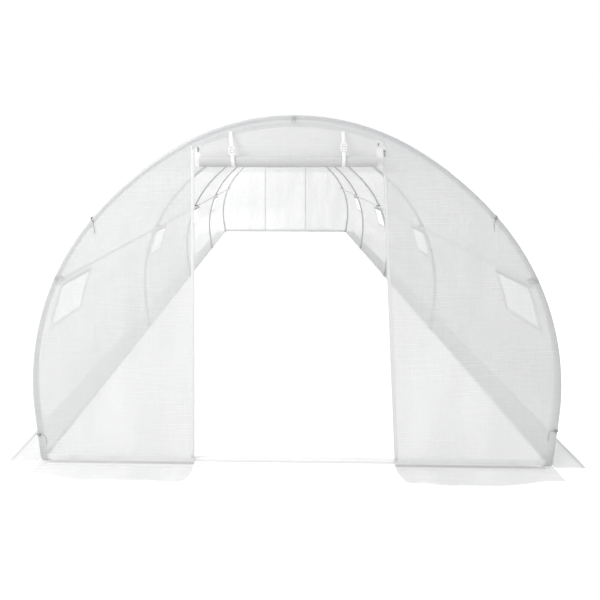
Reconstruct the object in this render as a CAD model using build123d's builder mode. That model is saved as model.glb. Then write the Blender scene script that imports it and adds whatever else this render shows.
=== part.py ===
from build123d import *
from math import acos, atan2, copysign, cos, degrees, hypot, radians, sin
import os

# A walk-in polytunnel: bent tube hoops, purlins and base rails under a sewn sheet cover.
# Sizes are in millimetres. X runs across, Y from the doorway (minus) to the closed end, Z is up.

# Overall sizes, measured over the sheet, and the height at which the arch is widest
cover_width = 3000.0
cover_length = 6000.0
widest_height = 461.0
hoop_count = 5

# Sheet, and the clearance at which pieces seat
film = 2.0
seat = 0.3

# Arch: a crown arc, a flatter shoulder arc and a side arc, then a straight leg that leans in
crown_radius_share = 0.885
shoulder_radius_share = 1.262
crown_angle = 30.0
shoulder_angle = 50.0
lean_angle = 8.0
right_angle = 90.0
full_angle = 360.0

# Tubes and their push-fit joints
hoop_tube = 25.0
rail_tube = 19.0
spigot_wall = 1.5
spigot_length = 60.0
bore_spare = 2.0

# Cross clamps that hold the purlins under the hoops
clamp_wall = 3.2
clamp_width = 24.0
clamp_web = 2.4
clamp_lip = 6.0
purlin_angle = 65.5

# Foot connectors
foot_reach = 70.0
rail_socket = 45.0
rail_grip = 35.0

# Doorway, as it hangs in the front end sheet, and the closed rear door
door_left = 566.0
door_right_top = 499.0
door_right_foot = 566.0
door_head = 267.0
rear_door_half = 480.0
zip_tape = 16.0
zip_rise = 90.0

# The door sheet, rolled up under the head of the doorway, with two straps and their buckles.
# It ends short of the doorway's edges, where its zips are open
roll_size = 72.0
roll_short = 42.0
strap_width = 20.0
strap_drop = 95.0
strap_places = (-342.0, 270.0)
buckle_width = 32.0
buckle_length = 48.0
buckle_depth = 7.0
buckle_corner = 5.0
buckle_slot = 4.0
buckle_rise = 26.0

# Side windows, one behind each hoop on both sides, with their rolled-up flaps
window_length = 260.0
window_height = 240.0
window_drop = 113.0
window_behind_hoop = 130.0
flap_roll = 30.0
flap_lap = 14.0

# Ground skirts
side_skirt = 180.0
end_skirt = 115.0
skirt_corner = 60.0

# Angle from the top at which the crown of the cover is seamed to the roof on each side
crown_seam_angle = 10.0

# Sizes that follow from the ones above
hoop_radius = hoop_tube / 2
rail_radius = rail_tube / 2
inner = hoop_radius + seat
outer = inner + film
half_width = cover_width / 2 - outer
side_end = right_angle + lean_angle
lean_sine = sin(radians(lean_angle))
lean_cosine = cos(radians(lean_angle))
crown_sine = sin(radians(crown_angle))
crown_cosine = cos(radians(crown_angle))
shoulder_sine = sin(radians(shoulder_angle))
shoulder_cosine = cos(radians(shoulder_angle))
crown_radius = half_width * crown_radius_share
shoulder_radius = half_width * shoulder_radius_share
side_reach = half_width - crown_radius * crown_sine - shoulder_radius * (shoulder_sine - crown_sine)
side_radius = side_reach / (1 - shoulder_sine)
side_center = (half_width - side_radius, widest_height)
shoulder_center = (
    side_center[0] - (shoulder_radius - side_radius) * shoulder_sine,
    side_center[1] - (shoulder_radius - side_radius) * shoulder_cosine,
)
crown_center = (0, shoulder_center[1] + (shoulder_radius - crown_radius) * crown_cosine)
cover_height = crown_center[1] + crown_radius + outer
door_top = cover_height - door_head
zip_top = door_top + zip_rise
strap_top = cover_height - strap_drop
roll_left = roll_short - door_left
roll_right = door_right_top - roll_short
window_top = purlin_angle + degrees(window_drop / side_radius)
window_foot = window_top + degrees(window_height / side_radius)
spigot_radius = hoop_radius - spigot_wall
spigot_angle = degrees(spigot_length / side_radius)
spare_angle = degrees(bore_spare / side_radius)
seat_angle = degrees(seat / side_radius)
flap_angle = window_top - degrees(flap_lap / side_radius)
clamp_out = hoop_radius + seat + clamp_wall
ring_out = rail_radius + seat + clamp_wall
purlin_drop = hoop_radius + rail_radius + seat + seat + clamp_web
sheet_half = cover_length / 2 - film
end_hoop = sheet_half - clamp_out - seat
hoop_pitch = 2 * end_hoop / (hoop_count - 1)
hoop_places = [hoop_pitch * number - end_hoop for number in range(hoop_count)]
window_starts = [place + window_behind_hoop for place in hoop_places[:-1]]
foot_height = hoop_radius
rail_stop = rail_socket - rail_grip
sides = {"left": -1, "right": 1}


def arch_arc(angle):
    """Centre and radius of the arc of the hoop's centre line that holds this angle from the top."""
    if abs(angle) < crown_angle:
        return crown_center, crown_radius
    center = shoulder_center if abs(angle) < shoulder_angle else side_center
    radius = shoulder_radius if abs(angle) < shoulder_angle else side_radius
    return (copysign(1, angle) * center[0], center[1]), radius


def arch_point(angle, out=0):
    """Point at an angle from the top of the hoop, so far outside its centre line."""
    center, radius = arch_arc(angle)
    turn = radians(angle)
    return (center[0] + (radius + out) * sin(turn), center[1] + (radius + out) * cos(turn))


def arch_stops(start, end):
    """The angles from one to the other at which the radius of the arch changes, with both ends."""
    low, high = min(start, end), max(start, end)
    breaks = (-shoulder_angle, -crown_angle, crown_angle, shoulder_angle)
    stops = [low] + [stop for stop in breaks if low < stop < high] + [high]
    return stops if start < end else stops[::-1]


def arch_run(start, end, out):
    """Draw the arcs of the arch from one angle to another, so far outside the centre line."""
    stops = arch_stops(start, end)
    for first, last in zip(stops, stops[1:]):
        center, radius = arch_arc((first + last) / 2)
        CenterArc(center, radius + out, right_angle - first, first - last)


def band_outline(start, end):
    """Draw the outline of the sheet between two angles of the arch."""
    arch_run(start, end, inner)
    Line(arch_point(end, inner), arch_point(end, outer))
    arch_run(end, start, outer)
    Line(arch_point(start, outer), arch_point(start, inner))


def leg_point(side, height, out=0):
    """Point on the straight leg at a height, so far outside its centre line."""
    top = arch_point(side * side_end, out)
    drop = (top[1] - height) / lean_cosine
    return (top[0] - side * drop * lean_sine, height)


def tube_plane(angle, way=1):
    """Plane across the hoop's tube at an angle from the top, facing along the hoop."""
    x, z = arch_point(angle)
    return Plane((x, 0, z), z_dir=(way * cos(radians(angle)), 0, -way * sin(radians(angle))))


def bend_axis(angle):
    """Axis about which the tube is bent at an angle from the top."""
    center = arch_arc(angle)[0]
    return Axis((center[0], 0, center[1]), (0, 1, 0))


def keep(part, name):
    """Name a finished piece and write it out."""
    part.label = name
    export_step(part, f"parts/{name}.step")


os.makedirs("parts", exist_ok=True)
foot_x = leg_point(1, foot_height)[0]
foot_in = leg_point(1, film, inner)[0]
foot_out = leg_point(1, film, outer)[0]
leg_end = foot_height + (foot_reach + seat) * lean_cosine
leg_length = (arch_point(side_end)[1] - leg_end) / lean_cosine

# One hoop: two legs, bored at both ends, and a crown whose swaged ends push into them
with BuildPart() as hoop:
    for side in sides.values():
        start = side * (shoulder_angle + seat_angle)
        with BuildSketch(tube_plane(start)):
            Circle(hoop_radius)
        revolve(axis=bend_axis(start), revolution_arc=side * side_end - start)
        with BuildSketch(tube_plane(side * side_end, side)):
            Circle(hoop_radius)
        extrude(amount=leg_length)
        with BuildSketch(tube_plane(start)):
            Circle(spigot_radius + seat)
        revolve(axis=bend_axis(start), revolution_arc=side * (spigot_angle + spare_angle), mode=Mode.SUBTRACT)
        with BuildSketch(tube_plane(side * side_end, side).offset(leg_length)):
            Circle(spigot_radius + seat)
        extrude(amount=-(spigot_length + bore_spare), mode=Mode.SUBTRACT)
    stops = arch_stops(-shoulder_angle, shoulder_angle)
    for first, last in zip(stops, stops[1:]):
        with BuildSketch(tube_plane(first)):
            Circle(hoop_radius)
        revolve(axis=bend_axis((first + last) / 2), revolution_arc=last - first)
    for side in sides.values():
        with BuildSketch(tube_plane(side * shoulder_angle)):
            Circle(spigot_radius)
        revolve(axis=bend_axis(side * shoulder_angle), revolution_arc=side * spigot_angle)
for number, place in enumerate(hoop_places):
    keep(hoop.part.moved(Location((0, place, 0))), f"hoop_{number + 1}")

# One cross clamp: a saddle open toward the sheet, and a ring under it for the purlin
with BuildPart() as clamp:
    Cylinder(clamp_out, clamp_width, rotation=(0, right_angle, 0))
    with Locations((0, 0, -purlin_drop)):
        Cylinder(ring_out, clamp_width, rotation=(right_angle, 0, 0))
    Cylinder(hoop_radius + seat, 2 * ring_out, rotation=(0, right_angle, 0), mode=Mode.SUBTRACT)
    with Locations((0, 0, -purlin_drop)):
        Cylinder(rail_radius + seat, 2 * clamp_out, rotation=(right_angle, 0, 0), mode=Mode.SUBTRACT)
    with Locations((0, 0, clamp_lip + clamp_out / 2)):
        Box(2 * ring_out, 2 * clamp_out, clamp_out, mode=Mode.SUBTRACT)

# Purlins in lengths that meet inside the clamps, and the row of clamps along each purlin
for label, angle in (("ridge", 0), ("left", -purlin_angle), ("right", purlin_angle)):
    clamp_x, clamp_z = arch_point(angle)
    purlin_x, purlin_z = arch_point(angle, -purlin_drop)
    with BuildPart() as clamps:
        with Locations([Location((clamp_x, place, clamp_z), (0, angle, 0)) for place in hoop_places]):
            add(clamp.part)
    keep(clamps.part, f"{label}_clamps")
    with BuildPart() as purlin:
        for number in range(hoop_count - 1):
            first = hoop_places[number] + (seat if number else -clamp_width / 2)
            last = hoop_places[number + 1] - (seat if number < hoop_count - 2 else -clamp_width / 2)
            with Locations(Location((purlin_x, (first + last) / 2, purlin_z), (right_angle, 0, 0))):
                Cylinder(rail_radius, last - first)
    keep(purlin.part, f"{label}_purlin")

# Foot connectors: a stub and swaged end up into the leg, and sockets for the base rails
base = (Align.CENTER, Align.CENTER, Align.MIN)
with BuildPart() as feet:
    for side in sides.values():
        for number, place in enumerate(hoop_places):
            foot = (side * foot_x, place, foot_height)
            ways = [(0, -side * right_angle, 0)] if number in (0, hoop_count - 1) else []
            ways += [(-right_angle, 0, 0)] if number < hoop_count - 1 else []
            ways += [(right_angle, 0, 0)] if number > 0 else []
            with Locations(foot):
                Sphere(hoop_radius)
            with Locations(Location(foot, (0, side * lean_angle, 0))):
                Cylinder(hoop_radius, foot_reach, align=base)
                Cylinder(spigot_radius, foot_reach + spigot_length, align=base)
            with Locations([Location(foot, way) for way in ways]):
                Cylinder(hoop_radius, rail_socket, align=base)
            with Locations([Location(foot, way) * Location((0, 0, rail_stop)) for way in ways]):
                Cylinder(rail_radius + seat, rail_socket, align=base, mode=Mode.SUBTRACT)
keep(feet.part, "foot_connectors")

# Base rails, seated in the sockets of the foot connectors
for label, side in sides.items():
    with BuildPart() as base_rail:
        for first, last in zip(hoop_places, hoop_places[1:]):
            middle = (side * foot_x, (first + last) / 2, foot_height)
            with Locations(Location(middle, (right_angle, 0, 0))):
                Cylinder(rail_radius, last - first - 2 * (rail_stop + seat))
    keep(base_rail.part, f"{label}_base_rail")
for label, place in (("front", hoop_places[0]), ("rear", hoop_places[-1])):
    with BuildPart() as end_rail:
        with Locations(Location((0, place, foot_height), (0, right_angle, 0))):
            Cylinder(rail_radius, 2 * (foot_x - rail_stop - seat))
    keep(end_rail.part, f"{label}_base_rail")

# Roof and upper walls of the cover, in bands that meet at the seams
front_edge = Plane.XZ.offset(sheet_half)
bands = {
    "roof_crown": (-crown_seam_angle, crown_seam_angle),
    "left_roof": (-crown_angle, -crown_seam_angle),
    "right_roof": (crown_seam_angle, crown_angle),
    "left_shoulder": (-shoulder_angle, -crown_angle),
    "right_shoulder": (crown_angle, shoulder_angle),
    "left_upper_wall": (-window_top, -shoulder_angle),
    "right_upper_wall": (shoulder_angle, window_top),
}
for label, (start, end) in bands.items():
    with BuildPart() as band:
        with BuildSketch(front_edge):
            with BuildLine():
                band_outline(start, end)
            make_face()
        extrude(amount=-2 * sheet_half)
    keep(band.part, label)

# Window walls: the lengths of wall that the window openings leave between the upper and lower walls
window_ends = [start + window_length for start in window_starts]
wall_starts = [-sheet_half] + window_ends
wall_ends = window_starts + [sheet_half]
for label, side in sides.items():
    with BuildPart() as window_wall:
        for start, end in zip(wall_starts, wall_ends):
            with BuildSketch(Plane.XZ.offset(-start)):
                with BuildLine():
                    band_outline(side * window_top, side * window_foot)
                make_face()
            extrude(amount=start - end)
    keep(window_wall.part, f"{label}_window_wall")

# Screens that close the windows, and the flaps rolled up over them
with BuildPart() as screens:
    for side in sides.values():
        for start in window_starts:
            with BuildSketch(Plane.XZ.offset(-start - seat)):
                with BuildLine():
                    band_outline(side * (window_top + seat_angle), side * (window_foot - seat_angle))
                make_face()
            extrude(amount=2 * seat - window_length)
keep(screens.part, "window_screens")
with BuildPart() as flaps:
    for side in sides.values():
        flap_x, flap_z = arch_point(side * flap_angle, outer + seat + flap_roll / 2)
        for start in window_starts:
            with Locations(Location((flap_x, start + window_length / 2, flap_z), (right_angle, 0, 0))):
                Cylinder(flap_roll / 2, window_length + 2 * flap_lap)
keep(flaps.part, "window_flaps")

# Lower walls, which stand on the side skirts
for label, side in sides.items():
    with BuildPart() as lower_wall:
        with BuildSketch(front_edge):
            with BuildLine():
                arch_run(side * window_foot, side * side_end, inner)
                Line(arch_point(side * side_end, inner), leg_point(side, film, inner))
                Line(leg_point(side, film, inner), leg_point(side, film, outer))
                Line(leg_point(side, film, outer), arch_point(side * side_end, outer))
                arch_run(side * side_end, side * window_foot, outer)
                Line(arch_point(side * window_foot, outer), arch_point(side * window_foot, inner))
            make_face()
        extrude(amount=-2 * sheet_half)
    keep(lower_wall.part, f"{label}_lower_wall")
    with BuildPart() as skirt:
        with BuildSketch():
            with Locations((side * (foot_in + side_skirt / 2), 0)):
                Rectangle(side_skirt, 2 * sheet_half)
        extrude(amount=film)
    keep(skirt.part, f"{label}_skirt")

# End sheets, cut from one outline of the whole arch
with BuildSketch(Plane.XZ) as end_face:
    with BuildLine():
        Line(leg_point(-1, film, outer), arch_point(-side_end, outer))
        arch_run(-side_end, side_end, outer)
        Line(arch_point(side_end, outer), leg_point(1, film, outer))
        Line(leg_point(1, film, outer), leg_point(-1, film, outer))
    make_face()
far = cover_width
high = cover_height + door_head
front_panels = {
    "front_left_panel": [(-far, 0), (-door_left, 0), (-door_left, high), (-far, high)],
    "front_right_panel": [
        (door_right_foot, 0),
        (far, 0),
        (far, high),
        (door_right_top, high),
        (door_right_top, door_top),
    ],
    "front_transom": [
        (roll_left, door_top),
        (roll_right, door_top),
        (roll_right, zip_top),
        (door_right_top, zip_top),
        (door_right_top, high),
        (-door_left, high),
        (-door_left, zip_top),
        (roll_left, zip_top),
    ],
}
rear_panels = {
    "rear_left_panel": [(-far, 0), (-rear_door_half, 0), (-rear_door_half, high), (-far, high)],
    "rear_right_panel": [(rear_door_half, 0), (far, 0), (far, high), (rear_door_half, high)],
    "rear_transom": [
        (-rear_door_half, door_top),
        (rear_door_half, door_top),
        (rear_door_half, high),
        (-rear_door_half, high),
    ],
    "rear_door": [
        (-rear_door_half, 0),
        (rear_door_half, 0),
        (rear_door_half, door_top),
        (-rear_door_half, door_top),
    ],
}
for panels, plane in ((front_panels, front_edge), (rear_panels, Plane.XZ.offset(-sheet_half - film))):
    for label, corners in panels.items():
        with BuildPart() as panel:
            with BuildSketch(plane):
                add(end_face.sketch_local)
                with BuildLine():
                    Polyline(corners, close=True)
                make_face(mode=Mode.INTERSECT)
            extrude(amount=film)
        keep(panel.part, label)

# Zip tapes: down both edges of the open doorway, and over the two joins of the closed rear door
front_tapes = (
    [(-door_left - zip_tape, film), (-door_left, film), (-door_left, zip_top), (-door_left - zip_tape, zip_top)],
    [
        (door_right_foot, film),
        (door_right_foot + zip_tape, film),
        (door_right_top + zip_tape, door_top),
        (door_right_top + zip_tape, zip_top),
        (door_right_top, zip_top),
        (door_right_top, door_top),
    ],
)
with BuildPart() as front_zips:
    with BuildSketch(front_edge.offset(film)):
        for corners in front_tapes:
            with BuildLine():
                Polyline(corners, close=True)
            make_face()
    extrude(amount=film)
keep(front_zips.part, "front_zips")
with BuildPart() as rear_zips:
    with BuildSketch(Plane.XZ.offset(-sheet_half - film)):
        for side in sides.values():
            with Locations((side * rear_door_half, (film + door_top) / 2)):
                Rectangle(zip_tape, door_top - film)
    extrude(amount=-film)
keep(rear_zips.part, "rear_zips")

# End skirts: flaps on the ground beside each door, rounded at the outer corner next to the door
for label, way, reaches in (
    ("front", -1, ((-foot_out, -door_left), (foot_out, door_right_foot))),
    ("rear", 1, ((-foot_out, -rear_door_half), (foot_out, rear_door_half))),
):
    with BuildPart() as end_flaps:
        with BuildSketch():
            for wall_x, door_x in reaches:
                with Locations(((wall_x + door_x) / 2, way * (sheet_half + end_skirt / 2))):
                    Rectangle(abs(wall_x - door_x), end_skirt)
        extrude(amount=film)
        upright = end_flaps.edges().filter_by(Axis.Z)
        outward = [edge for edge in upright if way * edge.center().Y > sheet_half + end_skirt / 2]
        outward.sort(key=lambda edge: abs(edge.center().X))
        fillet(outward[:2], skirt_corner)
    keep(end_flaps.part, f"{label}_skirt")

# The rolled-up door sheet, in front of the sheet over the doorway
roll_radius = roll_size / 2
roll_y = -(sheet_half + film + seat + roll_radius)
with BuildPart() as door_roll:
    with Locations(Location(((roll_left + roll_right) / 2, roll_y, door_top), (0, right_angle, 0))):
        Cylinder(roll_radius, roll_right - roll_left)
keep(door_roll.part, "door_roll")

# Straps: down from the head of the door, round the roll, up to the lower edge of the sheet over it
strap_in = roll_radius + seat
strap_out = strap_in + film
anchor = (-(sheet_half + film + seat), strap_top)
climb = strap_top - door_top
lead = anchor[0] - roll_y
turn = atan2(climb, lead) + acos(strap_in / hypot(climb, lead))
touch_in = (roll_y + strap_in * cos(turn), door_top + strap_in * sin(turn))
touch_out = (roll_y + strap_out * cos(turn), door_top + strap_out * sin(turn))
anchor_out = (anchor[0] + film * cos(turn), anchor[1] + film * sin(turn))
wrap = full_angle - degrees(turn)
with BuildPart() as straps:
    for place in strap_places:
        with BuildSketch(Plane.YZ.offset(place - strap_width / 2)):
            with BuildLine():
                Line(anchor, touch_in)
                CenterArc((roll_y, door_top), strap_in, degrees(turn), wrap)
                Line((roll_y + strap_in, door_top), (roll_y + strap_out, door_top))
                CenterArc((roll_y, door_top), strap_out, full_angle, -wrap)
                Line(touch_out, anchor_out)
                Line(anchor_out, anchor)
            make_face()
        extrude(amount=strap_width)
keep(straps.part, "door_straps")

# Buckles on the straight run of each strap, with the slot that the strap's end passes through
buckle_up = buckle_rise + buckle_length / 2
with BuildPart() as buckles:
    for place in strap_places:
        origin = (place, touch_out[0] + buckle_up * sin(turn), touch_out[1] - buckle_up * cos(turn))
        face = Plane(origin, x_dir=(1, 0, 0), z_dir=(0, cos(turn), sin(turn)))
        with BuildSketch(face):
            RectangleRounded(buckle_width, buckle_length, buckle_corner)
            with Locations((0, buckle_length / 4), (0, -buckle_length / 4)):
                Rectangle(strap_width, buckle_slot, mode=Mode.SUBTRACT)
        extrude(amount=buckle_depth)
keep(buckles.part, "strap_buckles")
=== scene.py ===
import logging
import math
from dataclasses import dataclass
from enum import Enum
from functools import cache
from typing import Callable, Iterable, Sequence

import bpy
import numpy as np
from mathutils import Matrix, Vector


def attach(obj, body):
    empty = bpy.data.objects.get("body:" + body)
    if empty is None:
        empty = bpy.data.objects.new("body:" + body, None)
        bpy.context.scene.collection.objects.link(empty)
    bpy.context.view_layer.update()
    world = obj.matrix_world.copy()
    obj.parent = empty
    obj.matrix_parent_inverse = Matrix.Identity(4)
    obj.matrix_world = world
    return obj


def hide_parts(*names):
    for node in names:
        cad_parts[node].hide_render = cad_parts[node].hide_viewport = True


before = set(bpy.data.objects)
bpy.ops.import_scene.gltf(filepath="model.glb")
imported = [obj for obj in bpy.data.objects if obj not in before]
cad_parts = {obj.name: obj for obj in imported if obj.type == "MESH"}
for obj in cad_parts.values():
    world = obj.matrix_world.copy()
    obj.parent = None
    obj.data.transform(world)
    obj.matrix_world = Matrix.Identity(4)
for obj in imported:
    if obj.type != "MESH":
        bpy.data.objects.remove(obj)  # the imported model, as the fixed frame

log = logging.getLogger("polytunnel")
BODY = "root"
Pair = tuple[float, float]
Point = tuple[float, float, float]
Colour = tuple[float, float, float]
Mesh = bpy.types.Mesh
Socket = bpy.types.NodeSocket


class Side(Enum):
    """The two long sides of the tunnel, by the sign of X."""

    LEFT = -1
    RIGHT = 1


class End(Enum):
    """The two ends of the tunnel, by the sign of Y."""

    FRONT = -1
    REAR = 1


class Held(Enum):
    """How a sheet is held."""

    STRETCHED = "stretched"
    HUNG = "hung"
    LAID = "laid"
    FOLDED = "folded"


class Field:
    """A value inside a node tree that can be added, scaled and bent like a number."""

    def __init__(self, graph: "Graph", socket: Socket) -> None:
        """Wrap an output socket.

        Args:
            graph: the graph that holds the socket.
            socket: the output that gives the value.
        """
        self.graph = graph
        self.socket = socket

    def __add__(self, other: "Field | float") -> "Field":
        """Sum of this and another value."""
        return self.graph.math("ADD", self, other)

    def __sub__(self, other: "Field | float") -> "Field":
        """This value less another."""
        return self.graph.math("SUBTRACT", self, other)

    def __rsub__(self, other: float) -> "Field":
        """A number less this value."""
        return self.graph.math("SUBTRACT", other, self)

    def __mul__(self, other: "Field | float") -> "Field":
        """Product of this and another value."""
        return self.graph.math("MULTIPLY", self, other)

    def __truediv__(self, other: "Field | float") -> "Field":
        """This value over another."""
        return self.graph.math("DIVIDE", self, other)

    __radd__ = __add__
    __rmul__ = __mul__

    def sin(self) -> "Field":
        """Sine of this angle."""
        return self.graph.math("SINE", self)

    def cos(self) -> "Field":
        """Cosine of this angle."""
        return self.graph.math("COSINE", self)

    def sqrt(self) -> "Field":
        """Square root of this value."""
        return self.graph.math("SQRT", self)

    def size(self) -> "Field":
        """This value without its sign."""
        return self.graph.math("ABSOLUTE", self)

    def sign(self) -> "Field":
        """Minus one, nought or one."""
        return self.graph.math("SIGN", self)

    def within(self, low: "Field | float", high: "Field | float") -> "Field":
        """This value, held between two limits."""
        return self.graph.math("MINIMUM", self.graph.math("MAXIMUM", self, low), high)

    def ease(self, low: float, high: float) -> "Field":
        """Nought below one limit and one above the other, with a soft step between."""
        inputs = {"Value": self, "From Min": low, "From Max": high}
        step = self.graph.fed("ShaderNodeMapRange", inputs, interpolation_type="SMOOTHSTEP")
        return Field(self.graph, step.outputs[0])


class Graph:
    """A node tree being built, with short ways to add nodes, link them and do sums."""

    def __init__(self, tree: bpy.types.NodeTree) -> None:
        """Start on an empty tree.

        Args:
            tree: the tree to build in.
        """
        self.tree = tree

    def node(self, kind: str, **settings: object) -> bpy.types.Node:
        """Add a node.

        Args:
            kind: the node's type.
            settings: values of the node's own properties.

        Returns:
            The new node.
        """
        made = self.tree.nodes.new(kind)
        for name, value in settings.items():
            setattr(made, name, value)
        return made

    def feed(self, socket: Socket, value: object) -> None:
        """Link a value to an input, or set the input to it.

        Args:
            socket: the input.
            value: a field, an output socket or a plain value.
        """
        if isinstance(value, Field):
            value = value.socket
        if isinstance(value, Socket):
            self.tree.links.new(value, socket)
        else:
            socket.default_value = value

    def fed(self, kind: str, inputs: dict[str | int, object], **settings: object) -> bpy.types.Node:
        """Add a node with its inputs linked or set.

        Args:
            kind: the node's type.
            inputs: a field, an output socket or a plain value for each input, by its name or number.
            settings: values of the node's own properties.

        Returns:
            The new node.
        """
        made = self.node(kind, **settings)
        for label, value in inputs.items():
            self.feed(made.inputs[label], value)
        return made

    def math(self, operation: str, *values: "Field | float") -> Field:
        """Do one sum.

        Args:
            operation: the sum's name.
            values: what it works on.

        Returns:
            Its result.
        """
        made = self.fed("ShaderNodeMath", dict(enumerate(values)), operation=operation)
        return Field(self, made.outputs[0])

    def split(self, vector: Socket) -> tuple[Field, Field, Field]:
        """The three parts of a vector."""
        made = self.fed("ShaderNodeSeparateXYZ", {0: vector})
        return tuple(Field(self, socket) for socket in made.outputs)

    def join(self, *parts: "Field | float") -> Socket:
        """A vector of three parts."""
        return self.fed("ShaderNodeCombineXYZ", dict(enumerate(parts))).outputs[0]

    def noise(self, vector: Socket, seed: "Field | float", detail: float = 2.0) -> Field:
        """Soft noise from nought to one.

        Args:
            vector: the place, in units of the noise's own size.
            seed: the fourth coordinate, which picks the pattern.
            detail: how many finer layers are added.

        Returns:
            The noise's value.
        """
        inputs = {"Vector": vector, "W": seed, "Scale": 1.0, "Detail": detail}
        made = self.fed("ShaderNodeTexNoise", inputs, noise_dimensions="4D")
        return Field(self, made.outputs[0])


class ShapeTree:
    """A geometry node tree with named inputs, run on a piece and then turned into a plain mesh."""

    def __init__(self, name: str, inputs: dict[str, float], build: Callable[["ShapeTree"], object]) -> None:
        """Build the tree.

        Args:
            name: the tree's name.
            inputs: its named sizes and their usual values.
            build: makes the nodes and returns the socket of the finished geometry.
        """
        self.tree = bpy.data.node_groups.new(name, "GeometryNodeTree")
        self.graph = Graph(self.tree)
        sockets = self.tree.interface
        sockets.new_socket("Geometry", in_out="INPUT", socket_type="NodeSocketGeometry")
        sockets.new_socket("Geometry", in_out="OUTPUT", socket_type="NodeSocketGeometry")
        for label, value in inputs.items():
            sockets.new_socket(label, in_out="INPUT", socket_type="NodeSocketFloat").default_value = value
        sockets.new_socket("Finish", in_out="INPUT", socket_type="NodeSocketMaterial")
        self.source = self.graph.node("NodeGroupInput")
        self.finish(build(self))

    def size(self, label: str) -> Field:
        """One of the named inputs."""
        return Field(self.graph, self.source.outputs[label])

    def finish(self, geometry: Socket) -> None:
        """Close the tree: make instances real, set the finish and put the geometry out."""
        real = self.graph.fed("GeometryNodeRealizeInstances", {0: geometry})
        inputs = {"Geometry": real.outputs[0], "Material": self.source.outputs["Finish"]}
        dressed = self.graph.fed("GeometryNodeSetMaterial", inputs)
        self.graph.fed("NodeGroupOutput", {0: dressed.outputs[0]})

    def moved(self, position: Socket) -> Socket:
        """The source geometry with its points set to new places."""
        inputs = {"Geometry": self.source.outputs["Geometry"], "Position": position}
        return self.graph.fed("GeometryNodeSetPosition", inputs).outputs[0]

    def set_out(self, points: Socket, piece: Socket, rotation: Socket) -> Socket:
        """One copy of a small piece on each point, turned as the point says."""
        inputs = {"Points": points, "Instance": piece, "Rotation": rotation}
        return self.graph.fed("GeometryNodeInstanceOnPoints", inputs).outputs[0]

    def place(self) -> tuple[Field, Field, Field]:
        """The three coordinates of each point of the source geometry."""
        return self.graph.split(self.graph.node("GeometryNodeInputPosition").outputs[0])

    def run(self, mesh: Mesh, finish: bpy.types.Material, **sizes: float) -> Mesh:
        """Run the tree on a mesh.

        Args:
            mesh: the source, which is used up.
            finish: the material of the result.
            sizes: values for named inputs, with underscores for spaces.

        Returns:
            The result as a plain mesh.
        """
        made = bpy.data.objects.new("shape_in_work", mesh)
        bpy.context.scene.collection.objects.link(made)
        modifier = made.modifiers.new(self.tree.name, "NODES")
        modifier.node_group = self.tree
        sockets = [item for item in self.tree.interface.items_tree if item.in_out == "INPUT"]
        names = {item.name: item.identifier for item in sockets}
        modifier[names["Finish"]] = finish
        for label, value in sizes.items():
            modifier[names[label.replace("_", " ").capitalize()]] = float(value)
        graph = bpy.context.evaluated_depsgraph_get()
        result = bpy.data.meshes.new_from_object(
            made.evaluated_get(graph), preserve_all_data_layers=True, depsgraph=graph
        )
        made.modifiers.remove(modifier)
        bpy.data.objects.remove(made)
        bpy.data.meshes.remove(mesh)
        return result


# Meshes

def make_mesh(points: np.ndarray, faces: Sequence[Sequence[int]], flat: np.ndarray | None = None) -> Mesh:
    """A mesh of points and faces, with a map of the flat cloth.

    Args:
        points: one row of three coordinates for each point.
        faces: the points of each face, in order.
        flat: one row of two lengths in metres for each point, along and across the cloth.

    Returns:
        The mesh, with unused points left out.
    """
    corners = np.concatenate([np.asarray(face) for face in faces])
    used, index = np.unique(corners, return_inverse=True)
    starts = np.cumsum([0] + [len(face) for face in faces])
    lists = [index[a:b].tolist() for a, b in zip(starts, starts[1:])]
    mesh = bpy.data.meshes.new("work")
    mesh.from_pydata(np.asarray(points)[used].tolist(), [], lists)
    if flat is not None:
        layer = mesh.uv_layers.new(name="flat")
        layer.data.foreach_set("uv", np.asarray(flat, np.float32)[corners].ravel())
    mesh.update()
    return mesh


def grid_faces(rows: int, columns: int, keep: np.ndarray | None = None, ring: bool = False) -> np.ndarray:
    """Quads over a grid of points that is stored row by row.

    Args:
        rows: number of rows of points.
        columns: number of points in a row.
        keep: which cells get a face, all of them when left out.
        ring: True where the last column joins the first.

    Returns:
        One row of four points for each face.
    """
    across = np.arange(columns if ring else columns - 1)
    first = (np.arange(rows - 1)[:, None] * columns + across[None, :])
    second = (np.arange(rows - 1)[:, None] * columns + (across + 1)[None, :] % columns)
    quads = np.stack([first, second, second + columns, first + columns], axis=-1)
    return quads[keep] if keep is not None else quads.reshape(-1, 4)


def lines(keys: Iterable[float], step: float) -> np.ndarray:
    """Places of grid lines: every key place, and others between them no further apart than a step."""
    keys = sorted(set(round(key, 6) for key in keys))
    runs = []
    for a, b in zip(keys, keys[1:]):
        count = max(1, math.ceil((b - a) / step))
        runs.append(np.linspace(a, b, count, endpoint=False))
    return np.concatenate(runs + [np.array(keys[-1:])])


def flat_sheet(
    across: np.ndarray, along: np.ndarray, keep: np.ndarray | None = None, lift: float = 0.0
) -> Mesh:
    """A flat sheet of quads on grid lines, facing up.

    Args:
        across: places of the lines in X.
        along: places of the lines in Y.
        keep: which cells are cloth, one row for each step in Y.
        lift: the sheet's height.

    Returns:
        The mesh.
    """
    x, y = np.meshgrid(across, along)
    points = np.stack([x.ravel(), y.ravel(), np.full(x.size, lift)], axis=1)
    return make_mesh(points, grid_faces(len(along), len(across), keep), points[:, :2])


def wire(points: Sequence[Point], close: bool = False) -> Mesh:
    """A line of edges for a tree that sets things along it."""
    mesh = bpy.data.meshes.new("work")
    edges = [(i, i + 1) for i in range(len(points) - 1)] + ([(len(points) - 1, 0)] if close else [])
    mesh.from_pydata([tuple(map(float, point)) for point in points], edges, [])
    return mesh


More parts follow.
